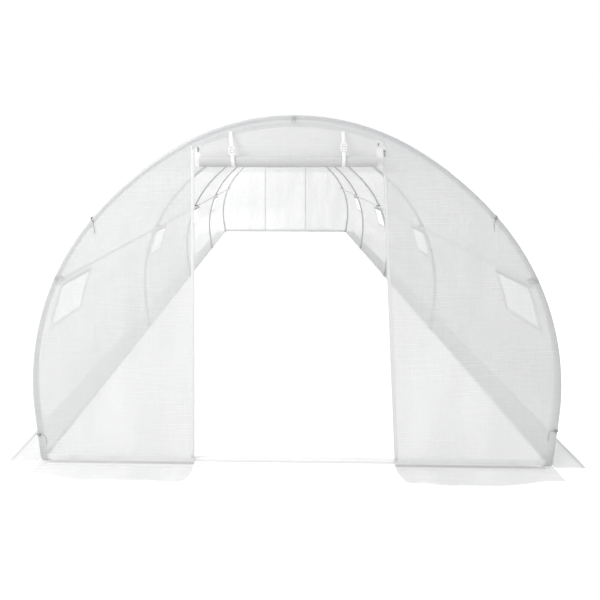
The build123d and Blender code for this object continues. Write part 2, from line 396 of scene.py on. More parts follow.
def merge(meshes: Sequence[Mesh]) -> Mesh:
    """Several meshes as one, with their flat maps; the sources are used up."""
    points, faces, flat, start = [], [], [], 0
    for mesh in meshes:
        co = np.zeros(len(mesh.vertices) * 3)
        mesh.vertices.foreach_get("co", co)
        points.append(co.reshape(-1, 3))
        faces += [[start + v for v in face.vertices] for face in mesh.polygons]
        layer = mesh.uv_layers.active
        values = np.zeros((len(mesh.loops), 2))
        if layer:
            read = np.zeros(len(mesh.loops) * 2)
            layer.data.foreach_get("uv", read)
            values = read.reshape(-1, 2)
        flat.append(values)
        start += len(mesh.vertices)
        bpy.data.meshes.remove(mesh)
    made = bpy.data.meshes.new("work")
    made.from_pydata(np.concatenate(points).tolist(), [], faces)
    made.uv_layers.new(name="flat").data.foreach_set("uv", np.concatenate(flat).astype(np.float32).ravel())
    made.update()
    return made


def swept(
    path: Sequence[Point], widths: Sequence[Vector], lifts: Sequence[Vector], outline: np.ndarray
) -> Mesh:
    """A closed bar or strap: one outline carried along a path.

    Args:
        path: the points that it follows.
        widths: at each point, the direction of the outline's first coordinate.
        lifts: at each point, the direction of the outline's second coordinate.
        outline: the outline's points, in metres, in order.

    Returns:
        The mesh, closed at both ends.
    """
    rings = [
        [np.array(p) + a * np.array(w) + b * np.array(n) for a, b in outline]
        for p, w, n in zip(path, widths, lifts)
    ]
    count = len(outline)
    run = np.concatenate([[0.0], np.cumsum([math.dist(a, b) for a, b in zip(path, path[1:])])])
    points = np.array(rings).reshape(-1, 3)
    flat = np.array([[outline[i][0], r] for r in run for i in range(count)])
    last = count * (len(path) - 1)
    faces = grid_faces(len(path), count, ring=True).tolist()
    faces += [list(range(count))[::-1], list(range(last, last + count))]
    mesh = make_mesh(points, faces, flat)
    return face_out(mesh)


def headings(line: Sequence[Vector]) -> list[Vector]:
    """The direction of an open line at each of its points."""
    ends = zip([line[0], *line[:-1]], [*line[1:], line[-1]])
    return [(after - before).normalized() for before, after in ends]


def face_out(mesh: Mesh) -> Mesh:
    """Turn a closed mesh right side out by the sign of its volume."""
    mesh.calc_loop_triangles()
    corners = np.array([[mesh.vertices[v].co[:] for v in t.vertices] for t in mesh.loop_triangles])
    if np.einsum("ij,ij->i", corners[:, 0], np.cross(corners[:, 1], corners[:, 2])).sum() < 0:
        mesh.flip_normals()
    return mesh


def rounded(width: float, height: float, corner: float, steps: int = 3) -> np.ndarray:
    """The outline of a rectangle with round corners, about its middle."""
    turns = np.linspace(0, math.pi / 2, steps + 1)
    quarters = []
    for sx, sy, start in ((1, 1, 0), (-1, 1, math.pi / 2), (-1, -1, math.pi), (1, -1, 1.5 * math.pi)):
        x = sx * (width / 2 - corner) + corner * np.cos(turns + start)
        y = sy * (height / 2 - corner) + corner * np.sin(turns + start)
        quarters.append(np.stack([x, y], axis=1))
    return np.concatenate(quarters)


def set_values(mesh: Mesh, name: str, values: np.ndarray) -> None:
    """Store one number, or one vector, for each point of a mesh under a name that a shape tree reads.

    Args:
        mesh: the mesh.
        name: the attribute's name.
        values: one number, or one row of three, for each point.
    """
    kind, key = ("FLOAT", "value") if values.ndim == 1 else ("FLOAT_VECTOR", "vector")
    stored = mesh.attributes.new(name, kind, "POINT")
    stored.data.foreach_set(key, values.astype(np.float32).ravel())


def add_piece(
    name: str, mesh: Mesh, finish: bpy.types.Material, smooth: bool = True
) -> bpy.types.Object:
    """Put a finished mesh in the scene as a piece of the object.

    Args:
        name: the piece's name.
        mesh: its mesh, in place.
        finish: its material.
        smooth: True for soft shading across its faces.

    Returns:
        The piece.
    """
    mesh.name = name
    mesh.materials.clear()
    mesh.materials.append(finish)
    mesh.polygons.foreach_set("use_smooth", [smooth] * len(mesh.polygons))
    mesh.update()
    piece = bpy.data.objects.new(name, mesh)
    bpy.context.scene.collection.objects.link(piece)
    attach(piece, BODY)
    log.info("%s: %d faces", name, len(mesh.polygons))
    return piece


def along_line(line: Sequence[Sequence[float]], share: np.ndarray) -> np.ndarray:
    """Points on a line of straight runs, at shares of its whole length.

    Args:
        line: the corners of the line.
        share: values from nought to one.

    Returns:
        One row of coordinates for each share.
    """
    corners = np.array(line, float)
    run = np.concatenate([[0.0], np.cumsum(np.linalg.norm(np.diff(corners, axis=0), axis=1))])
    return np.stack([np.interp(share * run[-1], run, part) for part in corners.T], axis=1)


def smooth(value: np.ndarray | float, low: float, high: float) -> np.ndarray:
    """Nought below one limit and one above the other, with a soft step between."""
    t = np.clip((np.asarray(value, float) - low) / (high - low), 0, 1)
    return t * t * (3 - 2 * t)


# Finishes

def start_group(
    name: str, values: dict[str, float], results: Sequence[str]
) -> tuple[Graph, list[Field], Socket]:
    """Start a shader group that finishes share.

    Args:
        name: the group's name.
        values: its inputs, with the values that they have where a finish gives none.
        results: the names of its outputs.

    Returns:
        The group's graph, its inputs as fields, and the place that it works on.
    """
    tree = bpy.data.node_groups.new(name, "ShaderNodeTree")
    graph = Graph(tree)
    tree.interface.new_socket("Place", in_out="INPUT", socket_type="NodeSocketVector")
    for label, value in values.items():
        tree.interface.new_socket(label, in_out="INPUT", socket_type="NodeSocketFloat").default_value = value
    for label in results:
        tree.interface.new_socket(label, in_out="OUTPUT", socket_type="NodeSocketFloat")
    start = graph.node("NodeGroupInput")
    return graph, [Field(graph, start.outputs[label]) for label in values], start.outputs["Place"]


@cache
def weave_group() -> bpy.types.NodeTree:
    """The threads of a cloth: a mask of warp and weft, uneven from thread to thread, and its height."""
    values = {"Pitch": 0.011, "Thread share": 0.3, "Uneven": 0.0, "Warp": 1.0}
    graph, (pitch, share, uneven, warp), spot = start_group("woven_threads", values, ("Threads", "Height"))
    along, across, _ = graph.split(spot)
    masks, waves = [], []
    for number, (place, other) in enumerate(((along, across), (across, along))):
        turn = place / pitch
        away = graph.math("PINGPONG", turn, 0.5) * 2
        thread = graph.math("ROUND", turn)
        strength = graph.noise(graph.join(thread * 0.71, other / pitch * 0.07, 3.0 * number), 0.0, 1.0)
        mask = ((share * 1.35 - away) / (share * 0.7)).within(0.0, 1.0)
        masks.append(mask * (1.0 - uneven * (1.0 - strength.ease(0.36, 0.66))))
        waves.append((turn * math.pi).sin())
    over = waves[0] * waves[1] * 0.5 + 0.5
    spots = graph.join(along / pitch * 0.022, across / pitch * 0.03, 8.0)
    patch = graph.noise(spots, 0.0, 1.0).ease(0.34, 0.66)
    seen = graph.math("MAXIMUM", masks[0] * warp, masks[1]) * (1.0 - uneven * 0.95 * (1.0 - patch))
    height = graph.math("MAXIMUM", masks[0] * over * warp, masks[1] * (1.0 - over))
    graph.fed("NodeGroupOutput", {"Threads": seen, "Height": height})
    return graph.tree


@cache
def crease_group() -> bpy.types.NodeTree:
    """The sharp lines that a sheet keeps from being folded in its pack, stronger here and weaker there."""
    values = {"Spacing": 0.38, "Line width": 0.014, "Seed": 0.0}
    graph, (spacing, width, seed), spot = start_group("packing_creases", values, ("Height",))
    along, across, _ = graph.split(spot)
    ridges = []
    for number, (place, other, stretch) in enumerate(((along, across, 1.0), (across, along, 0.83))):
        turn = place / (spacing * stretch)
        away = graph.math("PINGPONG", turn, 0.5) * spacing * stretch
        patch = graph.noise(graph.join(graph.math("ROUND", turn) * 1.7, other / 0.3, 2.0 * number), seed, 1.0)
        ridges.append((1.0 - away / width).within(0.0, 1.0) * patch.ease(0.42, 0.62))
    graph.fed("NodeGroupOutput", {"Height": graph.math("MAXIMUM", *ridges)})
    return graph.tree


@cache
def foot_group() -> bpy.types.NodeTree:
    """A band along the fold where an end sheet meets the ground: painted shade in the fold, or the doubled
    hem.
    """
    values = {"Fold line": 3.000, "Half width": 1.41, "Height": 0.010, "Reach": 0.0075}
    graph, (line, half, height, reach), spot = start_group("foot_of_end_sheet", values, ("Mask",))
    x, y, z = graph.split(spot)
    # the same mask gives the painted shade in the fold and the doubled hem
    low = ((height - z) / 0.005).within(0.0, 1.0) * ((half - x.size()) / 0.02).within(0.0, 1.0)
    near = ((reach - (y.size() - line).size()) / 0.004).within(0.0, 1.0)
    patch = graph.noise(graph.join(x / 0.12, y, z), 4.0, 2.0).ease(0.2, 0.6)
    graph.fed("NodeGroupOutput", {"Mask": low * near * (patch * 0.3 + 0.7)})
    return graph.tree


@cache
def wear_group() -> bpy.types.NodeTree:
    """Handling marks: a soft mottle over the whole piece, and fine streaks along one direction."""
    values = {"Mottle size": 0.2, "Streak size": 0.01, "Seed": 0.0}
    graph, (coarse, fine, seed), spot = start_group("handling_wear", values, ("Mottle", "Streaks"))
    x, y, z = graph.split(spot)
    mottle = graph.noise(graph.join(x / coarse, y / coarse, z / coarse), seed, 3.0)
    streaks = graph.noise(graph.join(x / fine, y / fine * 0.06, z / fine), seed + 7.0, 2.0)
    graph.fed("NodeGroupOutput", {"Mottle": mottle.ease(0.25, 0.75), "Streaks": streaks.ease(0.3, 0.7)})
    return graph.tree


class Material:
    """A material being built: its graph, and the groups that finishes share."""

    def __init__(self, name: str) -> None:
        """Start an empty material.

        Args:
            name: the finish's name.
        """
        self.data = bpy.data.materials.new(name)
        self.data.use_nodes = True
        self.data.node_tree.nodes.clear()
        self.graph = Graph(self.data.node_tree)
        self.output = self.graph.node("ShaderNodeOutputMaterial")

    def cloth_place(self) -> Socket:
        """The place on the flat cloth, in metres."""
        return self.graph.node("ShaderNodeUVMap", uv_map="flat").outputs[0]

    def place(self) -> Socket:
        """The place on the object, in metres."""
        return self.graph.node("ShaderNodeTexCoord").outputs["Object"]

    def group(self, tree: bpy.types.NodeTree, place: Socket, **values: float) -> dict[str, Field]:
        """Place a shared group.

        Args:
            tree: the group.
            place: the coordinates that it works on.
            values: its named inputs, with underscores for spaces.

        Returns:
            The group's outputs.
        """
        inputs = {label.replace("_", " ").capitalize(): value for label, value in values.items()}
        made = self.graph.fed("ShaderNodeGroup", {"Place": place, **inputs}, node_tree=tree)
        return {socket.name: Field(self.graph, socket) for socket in made.outputs}

    def blend(self, share: Field, first: Colour | Socket, second: Colour) -> Socket:
        """A colour, plain or varying already, turning into another by a share from nought to one."""
        start = (*first, 1.0) if isinstance(first, tuple) else first
        inputs = {0: share, 6: start, 7: (*second, 1.0)}
        return self.graph.fed("ShaderNodeMix", inputs, data_type="RGBA").outputs[2]

    def surface(self, inputs: dict[str, object]) -> Socket:
        """A principled shader with some of its inputs set or linked."""
        return self.graph.fed("ShaderNodeBsdfPrincipled", inputs).outputs[0]

    def bump(self, height: Field, depth: float, strength: float = 1.0) -> Socket:
        """A normal bent by a height."""
        inputs = {"Strength": strength, "Distance": depth, "Height": height}
        return self.graph.fed("ShaderNodeBump", inputs).outputs[0]

    def mix(self, share: Field, first: Socket, second: Socket) -> Socket:
        """Two shaders mixed by a share."""
        return self.graph.fed("ShaderNodeMixShader", {0: share, 1: first, 2: second}).outputs[0]

    def finish(self, surface: Socket) -> bpy.types.Material:
        """Close the material."""
        self.graph.feed(self.output.inputs["Surface"], surface)
        return self.data


@dataclass(frozen=True)
class WovenSheet:
    """White woven film: thin film with a grid of thread in it, which lets light and sight through."""

    name: str = "woven_sheet"
    film: Colour = (0.80, 0.803, 0.806)
    thread: Colour = (0.865, 0.868, 0.87)
    hem: Colour = (0.95, 0.952, 0.954)
    # colour of the painted shade in the fold where an end sheet meets the ground
    painted_fold_shade: Colour = (0.30, 0.30, 0.29)
    clear: float = 0.30
    clear_thread: float = 0.21
    passes: float = 0.42
    roughness: float = 0.42
    pitch: float = 0.0105
    thread_share: float = 0.34
    uneven: float = 0.85
    warp: float = 0.65
    # how far the painted fold shade darkens the sheet's colour
    painted_fold_shade_tint: float = 0.55
    hem_height: float = 0.050
    hem_reach: float = 0.022
    hem_tint: float = 0.7
    hem_closed: float = 0.85

    @cache
    def material(self) -> bpy.types.Material:
        """The finish as a material."""
        made = Material(self.name)
        graph, place = made.graph, made.cloth_place()
        weave = made.group(
            weave_group(), place, pitch=self.pitch, thread_share=self.thread_share,
            uneven=self.uneven, warp=self.warp,
        )
        creases = made.group(crease_group(), place, seed=2.0)
        wear = made.group(wear_group(), place, mottle_size=0.35, streak_size=0.02, seed=3.0)
        # painted shade: a darker band in the fold where an end sheet meets the ground
        painted_fold_shade = made.group(foot_group(), made.place())["Mask"]
        hem = made.group(foot_group(), made.place(), height=self.hem_height, reach=self.hem_reach)
        doubled = hem["Mask"]
        threads, mottle = weave["Threads"], wear["Mottle"]
        along, across, _ = graph.split(place)
        milky = graph.noise(graph.join(along / 0.24, across / 1.1, 0.0), 5.0, 2.0).ease(0.3, 0.7)
        height = weave["Height"] * 0.3 + creases["Height"]
        clean = made.blend(threads * 0.85 + mottle * 0.15, self.film, self.thread)
        colour = made.blend(doubled * self.hem_tint, clean, self.hem)
        # the painted fold shade darkens the colour there
        colour = made.blend(painted_fold_shade * self.painted_fold_shade_tint, colour, self.painted_fold_shade)
        body = {
            "Base Color": colour,
            "Roughness": mottle * 0.12 + (self.roughness - 0.06),
            "Normal": made.bump(height, 0.0016, 0.7),
            "Specular IOR Level": 0.35,
        }
        through = graph.fed("ShaderNodeBsdfTranslucent", {"Color": colour})
        clear = graph.node("ShaderNodeBsdfTransparent")
        passes = (1.0 - doubled * self.hem_tint) * self.passes
        solid = made.mix(passes, made.surface(body), through.outputs[0])
        film_share = (threads * (self.clear_thread - self.clear) + self.clear) * (milky * 0.36 + 0.82)
        # the painted fold shade also closes the film there, so nothing shows through
        open_share = film_share * (1.0 - painted_fold_shade) * (1.0 - doubled * self.hem_closed)
        return made.finish(made.mix(open_share, solid, clear.outputs[0]))


@dataclass(frozen=True)
class Screen:
    """Fine knotless netting: pale threads with open holes."""

    name: str = "window_screen"
    thread: Colour = (0.86, 0.87, 0.87)
    pitch: float = 0.0032
    thread_share: float = 0.15

    @cache
    def material(self) -> bpy.types.Material:
        """The finish as a material."""
        made = Material(self.name)
        place = made.cloth_place()
        weave = made.group(weave_group(), place, pitch=self.pitch, thread_share=self.thread_share)
        wear = made.group(wear_group(), place, mottle_size=0.1, streak_size=0.01, seed=11.0)
        dim = tuple(part * 0.9 for part in self.thread)
        body = {
            "Base Color": made.blend(wear["Mottle"], self.thread, dim),
            "Roughness": 0.55,
            "Normal": made.bump(weave["Height"], 0.0005, 0.7),
        }
        clear = made.graph.node("ShaderNodeBsdfTransparent")
        return made.finish(made.mix(weave["Threads"], clear.outputs[0], made.surface(body)))


@dataclass(frozen=True)
class Tape:
    """Woven tape or webbing that no light passes."""

    name: str
    light: Colour
    dark: Colour
    pitch: float = 0.0016
    roughness: float = 0.7

    @cache
    def material(self) -> bpy.types.Material:
        """The finish as a material."""
        made = Material(self.name)
        place = made.cloth_place()
        weave = made.group(weave_group(), place, pitch=self.pitch, thread_share=0.55)
        wear = made.group(wear_group(), place, mottle_size=0.05, streak_size=0.004, seed=5.0)
        height, mottle = weave["Height"], wear["Mottle"]
        body = {
            "Base Color": made.blend(height * 0.7 + mottle * 0.3, self.dark, self.light),
            "Roughness": mottle * 0.15 + (self.roughness - 0.08),
            "Normal": made.bump(height, 0.0005, 0.8),
            "Sheen Weight": 0.15,
        }
        return made.finish(made.surface(body))


@dataclass(frozen=True)
class Metal:
    """Tube with a zinc coat: a soft spangle, faint drawing lines and dull patches."""

    name: str
    bright: Colour = (0.78, 0.79, 0.80)
    dull: Colour = (0.66, 0.67, 0.69)
    roughness: float = 0.42
    metallic: float = 0.60

    @cache
    def material(self) -> bpy.types.Material:
        """The finish as a material."""
        made = Material(self.name)
        wear = made.group(wear_group(), made.place(), mottle_size=0.06, streak_size=0.004, seed=1.0)
        mottle, streaks = wear["Mottle"], wear["Streaks"]
        body = {
            "Base Color": made.blend(mottle * 0.7 + streaks * 0.3, self.bright, self.dull),
            "Roughness": mottle * 0.16 + streaks * 0.08 + (self.roughness - 0.1),
            "Normal": made.bump(streaks, 0.0002, 0.3),
            "Metallic": self.metallic,
        }
        return made.finish(made.surface(body))


@dataclass(frozen=True)
class Plastic:
    """Moulded plastic with a fine grain."""

    name: str
    face: Colour
    worn: Colour
    roughness: float = 0.45
    grain: float = 0.0009

    @cache
    def material(self) -> bpy.types.Material:
        """The finish as a material."""
        made = Material(self.name)
        wear = made.group(wear_group(), made.place(), mottle_size=0.02, streak_size=self.grain, seed=9.0)
        body = {
            "Base Color": made.blend(wear["Mottle"] * 0.6, self.face, self.worn),
            "Roughness": wear["Mottle"] * 0.15 + (self.roughness - 0.07),
            "Normal": made.bump(wear["Streaks"], 0.0002, 0.35),
        }
        return made.finish(made.surface(body))


@dataclass(frozen=True)
class Finishes:
    """Every finish of the tunnel."""

    sheet: WovenSheet = WovenSheet()
    hem: WovenSheet = WovenSheet(
        "doubled_hem", (0.82, 0.825, 0.83), (0.91, 0.915, 0.92), clear=0.42, clear_thread=0.32, passes=0.45
    )
    laid: WovenSheet = WovenSheet("laid_sheet", clear=0.37, clear_thread=0.27)
    sleeve: WovenSheet = WovenSheet(
        "sill_sleeve", (0.93, 0.93, 0.93), (0.96, 0.96, 0.96), clear=0.02, clear_thread=0.0, passes=0.12
    )
    rolled: WovenSheet = WovenSheet(
        "rolled_sheet", (0.85, 0.852, 0.854), (0.92, 0.922, 0.924), clear=0.10, clear_thread=0.04, passes=0.34
    )
    screen: Screen = Screen()
    zip_tape: Tape = Tape("zip_tape", (0.93, 0.93, 0.93), (0.82, 0.82, 0.83))
    webbing: Tape = Tape("strap_webbing", (0.97, 0.97, 0.97), (0.86, 0.86, 0.87), pitch=0.0026)
    thread: Tape = Tape("sewing_thread", (0.90, 0.90, 0.90), (0.72, 0.72, 0.73), pitch=0.0008)
    hoop: Metal = Metal("hoop_steel")
    rail: Metal = Metal("rail_steel", (0.90, 0.905, 0.91), (0.80, 0.805, 0.81), 0.48, 0.30)
    foot: Metal = Metal("foot_steel", (0.64, 0.65, 0.66), (0.52, 0.53, 0.54), 0.44)
    screw: Metal = Metal("screw_steel", (0.42, 0.43, 0.45), (0.30, 0.31, 0.33), 0.34)
    clamp: Plastic = Plastic("dark_clamp", (0.28, 0.28, 0.285), (0.37, 0.37, 0.375))
    tie: Plastic = Plastic("dark_tie", (0.29, 0.29, 0.295), (0.37, 0.37, 0.375), 0.42)
    buckle: Plastic = Plastic("white_buckle", (0.95, 0.95, 0.95), (0.88, 0.88, 0.88), 0.38)
    teeth: Plastic = Plastic("zip_teeth", (0.80, 0.80, 0.80), (0.70, 0.70, 0.71), 0.40)


FINISH = Finishes()


# The arch that everything follows

@dataclass(frozen=True)
class Arch:
    """The line that the hoops are bent to, and the sheet that lies over them, in metres."""

    half_width: float = 1.4852
    widest_height: float = 0.461
    crown_share: float = 0.885
    shoulder_share: float = 1.262
    crown_end: float = math.radians(30.0)
    shoulder_end: float = math.radians(50.0)
    side_end: float = math.radians(98.0)
    sheet_out: float = 0.0138
    fold: float = 0.010
    skirt_height: float = 0.001
    skirt_reach: float = 1.6270
    hoops: tuple[float, ...] = (-2.9817, -1.49085, 0.0, 1.49085, 2.9817)
    half_length: float = 2.999

    def radii(self) -> tuple[float, float, float]:
        """Radius of the hoop's centre line in the crown, the shoulder and the side."""
        crown = self.half_width * self.crown_share
        shoulder = self.half_width * self.shoulder_share
        reach = self.half_width - crown * math.sin(self.crown_end)
        reach -= shoulder * (math.sin(self.shoulder_end) - math.sin(self.crown_end))
        return crown, shoulder, reach / (1 - math.sin(self.shoulder_end))

    def top(self) -> float:
        """Height of the hoop's centre line at the crown."""
        crown, shoulder, side = self.radii()
        rise = self.widest_height + side * math.cos(self.shoulder_end)
        rise += shoulder * (math.cos(self.crown_end) - math.cos(self.shoulder_end))
        return rise + crown * (1 - math.cos(self.crown_end))

    def leg(self, out: float | None = None) -> float:
        """Length of the sheet's straight run down the leg, to where it turns out on the ground."""
        out = self.sheet_out if out is None else out
        side = self.radii()[2] + out
        start = self.widest_height + side * math.cos(self.side_end)
        end = self.skirt_height + self.fold * (1 - math.cos(self.side_end))
        return (start - end) / math.sin(self.side_end)

    def run(self, angle: float, out: float | None = None) -> float:
        """Length along the sheet from the crown to an angle from the top.

        Args:
            angle: the angle, in radians.
            out: distance outside the hoop's centre line, the sheet's own when left out.

        Returns:
            The length, with the angle's sign.
        """
        out = self.sheet_out if out is None else out
        crown, shoulder, side = (radius + out for radius in self.radii())
        a = abs(angle)
        length = crown * min(a, self.crown_end)
        length += shoulder * min(max(a - self.crown_end, 0), self.shoulder_end - self.crown_end)
        length += side * max(a - self.shoulder_end, 0)
        return math.copysign(length, angle)

    def ground(self) -> float:
        """Length along the sheet from the crown to where the leg's straight run ends."""
        return self.run(self.side_end) + self.leg()

    def edge(self) -> float:
        """Length along the sheet from the crown to the outer edge of the side skirt."""
        turned = self.ground() + self.fold * self.side_end
        return turned + self.skirt_reach - self.at(turned)[0]

    def at(self, run: float, lift: float = 0.0) -> tuple[float, float, float]:
        """The place on the sheet at a length from the crown, by the same rule as the bending tree.

        Args:
            run: the length, plus to the right.
            lift: distance out from the sheet.

        Returns:
            X, Z and the angle of the sheet from the top.
        """
        crown, shoulder, side = (radius + self.sheet_out for radius in self.radii())
        s, x, z, angle = abs(run), 0.0, self.top() + self.sheet_out, 0.0
        bends = ((crown, self.crown_end), (shoulder, self.shoulder_end - self.crown_end))
        bends += ((side, self.side_end - self.shoulder_end),)
        for radius, turn in bends:
            part = min(max(s, 0), radius * turn)
            x += radius * (math.sin(angle + part / radius) - math.sin(angle))
            z += radius * (math.cos(angle + part / radius) - math.cos(angle))
            angle += part / radius
            s -= radius * turn
        part = min(max(s, 0), self.leg())
        x, z, s = x + part * math.cos(angle), z - part * math.sin(angle), s - self.leg()
        part = min(max(s, 0), self.fold * self.side_end) / self.fold
        x += self.fold * (math.sin(angle) - math.sin(angle - part))
        z -= self.fold * (math.cos(angle - part) - math.cos(angle))
        angle -= part
        x += max(s - self.fold * self.side_end, 0)
        x, z = x + lift * math.sin(angle), z + lift * math.cos(angle)
        return math.copysign(x, run), z, math.copysign(angle, run)

    def hoop_point(self, angle: float, out: float = 0.0) -> Pair:
        """X and Z of a point of the hoop at an angle from the top, so far outside its centre line."""
        x, z, turn = self.at(self.run(angle), out - self.sheet_out)
        return x, z


ARCH = Arch()
FAR = 9.0
RAIL_REACH = 0.0035
DRAWN_HEIGHTS = (0.014, 0.055)
DRAWN_FROM_WALL = (0.06, 0.17)
ZIP_WIDTH = 0.016
ZIP_FOLDS = (0.06, 0.09, 0.12)


def bend_nodes(shape: ShapeTree) -> Socket:
    """Bend a flat cut sheet, and what is sewn to it, over the hoops and out on the ground.

    Args:
        shape: the tree, with X along the arch from the crown, Y along the tunnel, Z out from the sheet.

    Returns:
        The bent geometry.
    """
    graph = shape.graph
    across, along, lift = shape.place()
    left, angle, x, z = across.size(), 0.0, 0.0, shape.size("Top height")
    for label in ("Crown", "Shoulder", "Side"):
        radius, turn = shape.size(f"{label} radius"), shape.size(f"{label} turn")
        part = left.within(0.0, radius * turn) / radius
        start = graph.math("ADD", angle, 0.0)
        x = radius * ((start + part).sin() - start.sin()) + x
        z = radius * ((start + part).cos() - start.cos()) + z
        angle, left = start + part, left - radius * turn
    lean = shape.size("Crown turn") + shape.size("Shoulder turn") + shape.size("Side turn")
    part = left.within(0.0, shape.size("Leg"))
    x, z, left = x + part * lean.cos(), z - part * lean.sin(), left - shape.size("Leg")
    fold = shape.size("Fold radius")
    part = left.within(0.0, fold * lean) / fold
    x = x + fold * (lean.sin() - (lean - part).sin())
    z = z - fold * ((lean - part).cos() - lean.cos())
    angle, left = angle - part, left - fold * lean
    x = x + left.within(0.0, FAR)
    bay = ((along - shape.size("First hoop")) / shape.size("Bay") * math.pi).sin()
    sagging = bay * bay
    foot, seed = shape.size("Ground run"), shape.size("Seed")
    taut_reach, at_hoop, lying_from, lying_full = 0.45, 0.15, 0.02, 0.10
    fold_long, fold_wide, ripple_long, ripple_wide, wave_long, wave_wide = 1.1, 0.16, 0.35, 0.5, 0.25, 0.22
    loose = ((foot - across.size()) / taut_reach).ease(0.0, 1.0)
    folds = graph.noise(graph.join(across / fold_long, along / fold_wide, 0.0), seed, 2.5) - 0.5
    ripple = graph.noise(graph.join(across / ripple_long, along / ripple_wide, 4.0), seed + 5.0) - 0.5
    crease = (folds * 2.0 + ripple * 1.1) * shape.size("Crease") * (sagging * (1 - at_hoop) + at_hoop)
    lying = (across.size() - foot).ease(lying_from, lying_full)
    waves = graph.noise(graph.join(across / wave_long, along / wave_wide, 2.0), seed + 9.0)
    curl = waves.ease(0.3, 0.9)
    lift = lift + loose * (crease - sagging * shape.size("Sag")) + lying * curl * shape.size("Curl")
    side = across.sign()
    return shape.moved(graph.join(side * (x + lift * angle.sin()), along, z + lift * angle.cos()))


@cache
def bend_tree() -> ShapeTree:
    """The tree that bends a flat cut cover over the hoops."""
    crown, shoulder, side = (radius + ARCH.sheet_out for radius in ARCH.radii())
    sizes = {
        "Top height": ARCH.top() + ARCH.sheet_out,
        "Crown radius": crown,
        "Crown turn": ARCH.crown_end,
        "Shoulder radius": shoulder,
        "Shoulder turn": ARCH.shoulder_end - ARCH.crown_end,
        "Side radius": side,
        "Side turn": ARCH.side_end - ARCH.shoulder_end,
        "Leg": ARCH.leg(),
        "Fold radius": ARCH.fold,
        "Ground run": ARCH.ground(),
        "First hoop": ARCH.hoops[0],
        "Bay": ARCH.hoops[1] - ARCH.hoops[0],
        "Sag": 0.012,
        "Crease": 0.006,
        "Curl": 0.006,
        "Seed": 2.0,
    }
    return ShapeTree("bend_over_hoops", sizes, bend_nodes)


def roll_nodes(shape: ShapeTree) -> Socket:
    """Roll a flat sheet up: X stays along the roll, Y is the length that is rolled, from the outside in.

    Args:
        shape: the tree. Below nought, Y is the straight lead that hangs down to the roll.

    Returns:
        The rolled geometry, with the roll's axis on X.
    """
    graph = shape.graph
    along, run, lift = shape.place()
    outer, pitch = shape.size("Outer radius"), shape.size("Layer pitch")
    slack_long, slack_turn, fold_wide, fold_long, fold_start = 0.28, 0.2, 0.09, 0.5, 0.06
    rolled, lead = run.within(0.0, FAR), run.within(-FAR, 0.0)
    turn = (outer - (outer * outer - rolled * pitch / math.pi).sqrt()) / pitch * math.tau
    spot = graph.join(along / slack_long, turn / math.tau * slack_turn, 0.0)
    slack = graph.noise(spot, shape.size("Seed")) - 0.5
    radius = outer - turn / math.tau * pitch + lift + slack * shape.size("Slack") * turn.ease(0.4, 2.4)
    middle = (along / shape.size("Half length")) * (along / shape.size("Half length"))
    drop = shape.size("Sag") * (middle - 1.0) * turn.ease(0.0, 1.5)
    spot = graph.join(along / fold_wide, lead / fold_long, 6.0)
    hang = graph.noise(spot, shape.size("Seed"), 1.5).ease(0.3, 0.8)
    hang = hang * (0.0 - lead).ease(0.0, fold_start) * shape.size("Lead folds")
    y = radius * turn.cos() + hang
    z = drop - radius * turn.sin() - lead
    return shape.moved(graph.join(along, y, z))


@cache
def roll_tree() -> ShapeTree:
    """The tree that rolls a sheet up."""
    sizes = {
        "Outer radius": 0.036,
        "Layer pitch": 0.0023,
        "Half length": 0.5,
        "Sag": 0.0,
        "Slack": 0.003,
        "Lead folds": 0.0,
        "Seed": 1.0,
    }
    return ShapeTree("roll_up", sizes, roll_nodes)


def hang_nodes(shape: ShapeTree) -> Socket:
    """Give a hanging end sheet its folds, out of its plane, where it is slack.

    Args:
        shape: the tree. The sheet stands in X and Z, and its points carry their slack.

    Returns:
        The sheet with folds.
    """
    graph = shape.graph
    x, y, z = shape.place()
    slack = graph.fed("GeometryNodeInputNamedAttribute", {"Name": "slack"}, data_type="FLOAT")
    loose = Field(graph, slack.outputs["Attribute"])
    seed = shape.size("Seed")
    spread = graph.join(x / shape.size("Fold width"), 0.0, z / shape.size("Fold length"))
    folds = graph.noise(spread, seed) - 0.5
    ripple_size = 0.4
    ripple = graph.noise(graph.join(x / ripple_size, 3.0, z / ripple_size), seed + 4.0) - 0.5
    push = (folds * 2.0 + ripple) * shape.size("Depth") * loose
    return shape.moved(graph.join(x, y + push, z))


@cache
def hang_tree() -> ShapeTree:
    """The tree that gives a hanging sheet its folds."""
    sizes = {"Fold width": 0.17, "Fold length": 1.1, "Depth": 0.014, "Seed": 1.0}
    return ShapeTree("hang_in_folds", sizes, hang_nodes)


def row_nodes(shape: ShapeTree) -> Socket:
    """Set a small block along a line at an even pitch, for stitches and zip teeth.

    Args:
        shape: the tree, run on a mesh of edges.

    Returns:
        The row of blocks.
    """
    graph = shape.graph
    curve = graph.fed("GeometryNodeMeshToCurve", {"Mesh": shape.source.outputs["Geometry"]})
    inputs = {"Curve": curve.outputs[0], "Length": shape.size("Pitch")}
    points = graph.fed("GeometryNodeCurveToPoints", inputs, mode="LENGTH").outputs
    size = graph.join(shape.size("Width"), shape.size("Height"), shape.size("Length"))
    block = graph.fed("GeometryNodeMeshCube", {"Size": size})
    return shape.set_out(points["Points"], block.outputs["Mesh"], points["Rotation"])


@cache
def row_tree() -> ShapeTree:
    """The tree that sets stitches or teeth along a line."""
    sizes = {"Pitch": 0.009, "Length": 0.006, "Width": 0.0014, "Height": 0.0014}
    return ShapeTree("row_of_blocks", sizes, row_nodes)


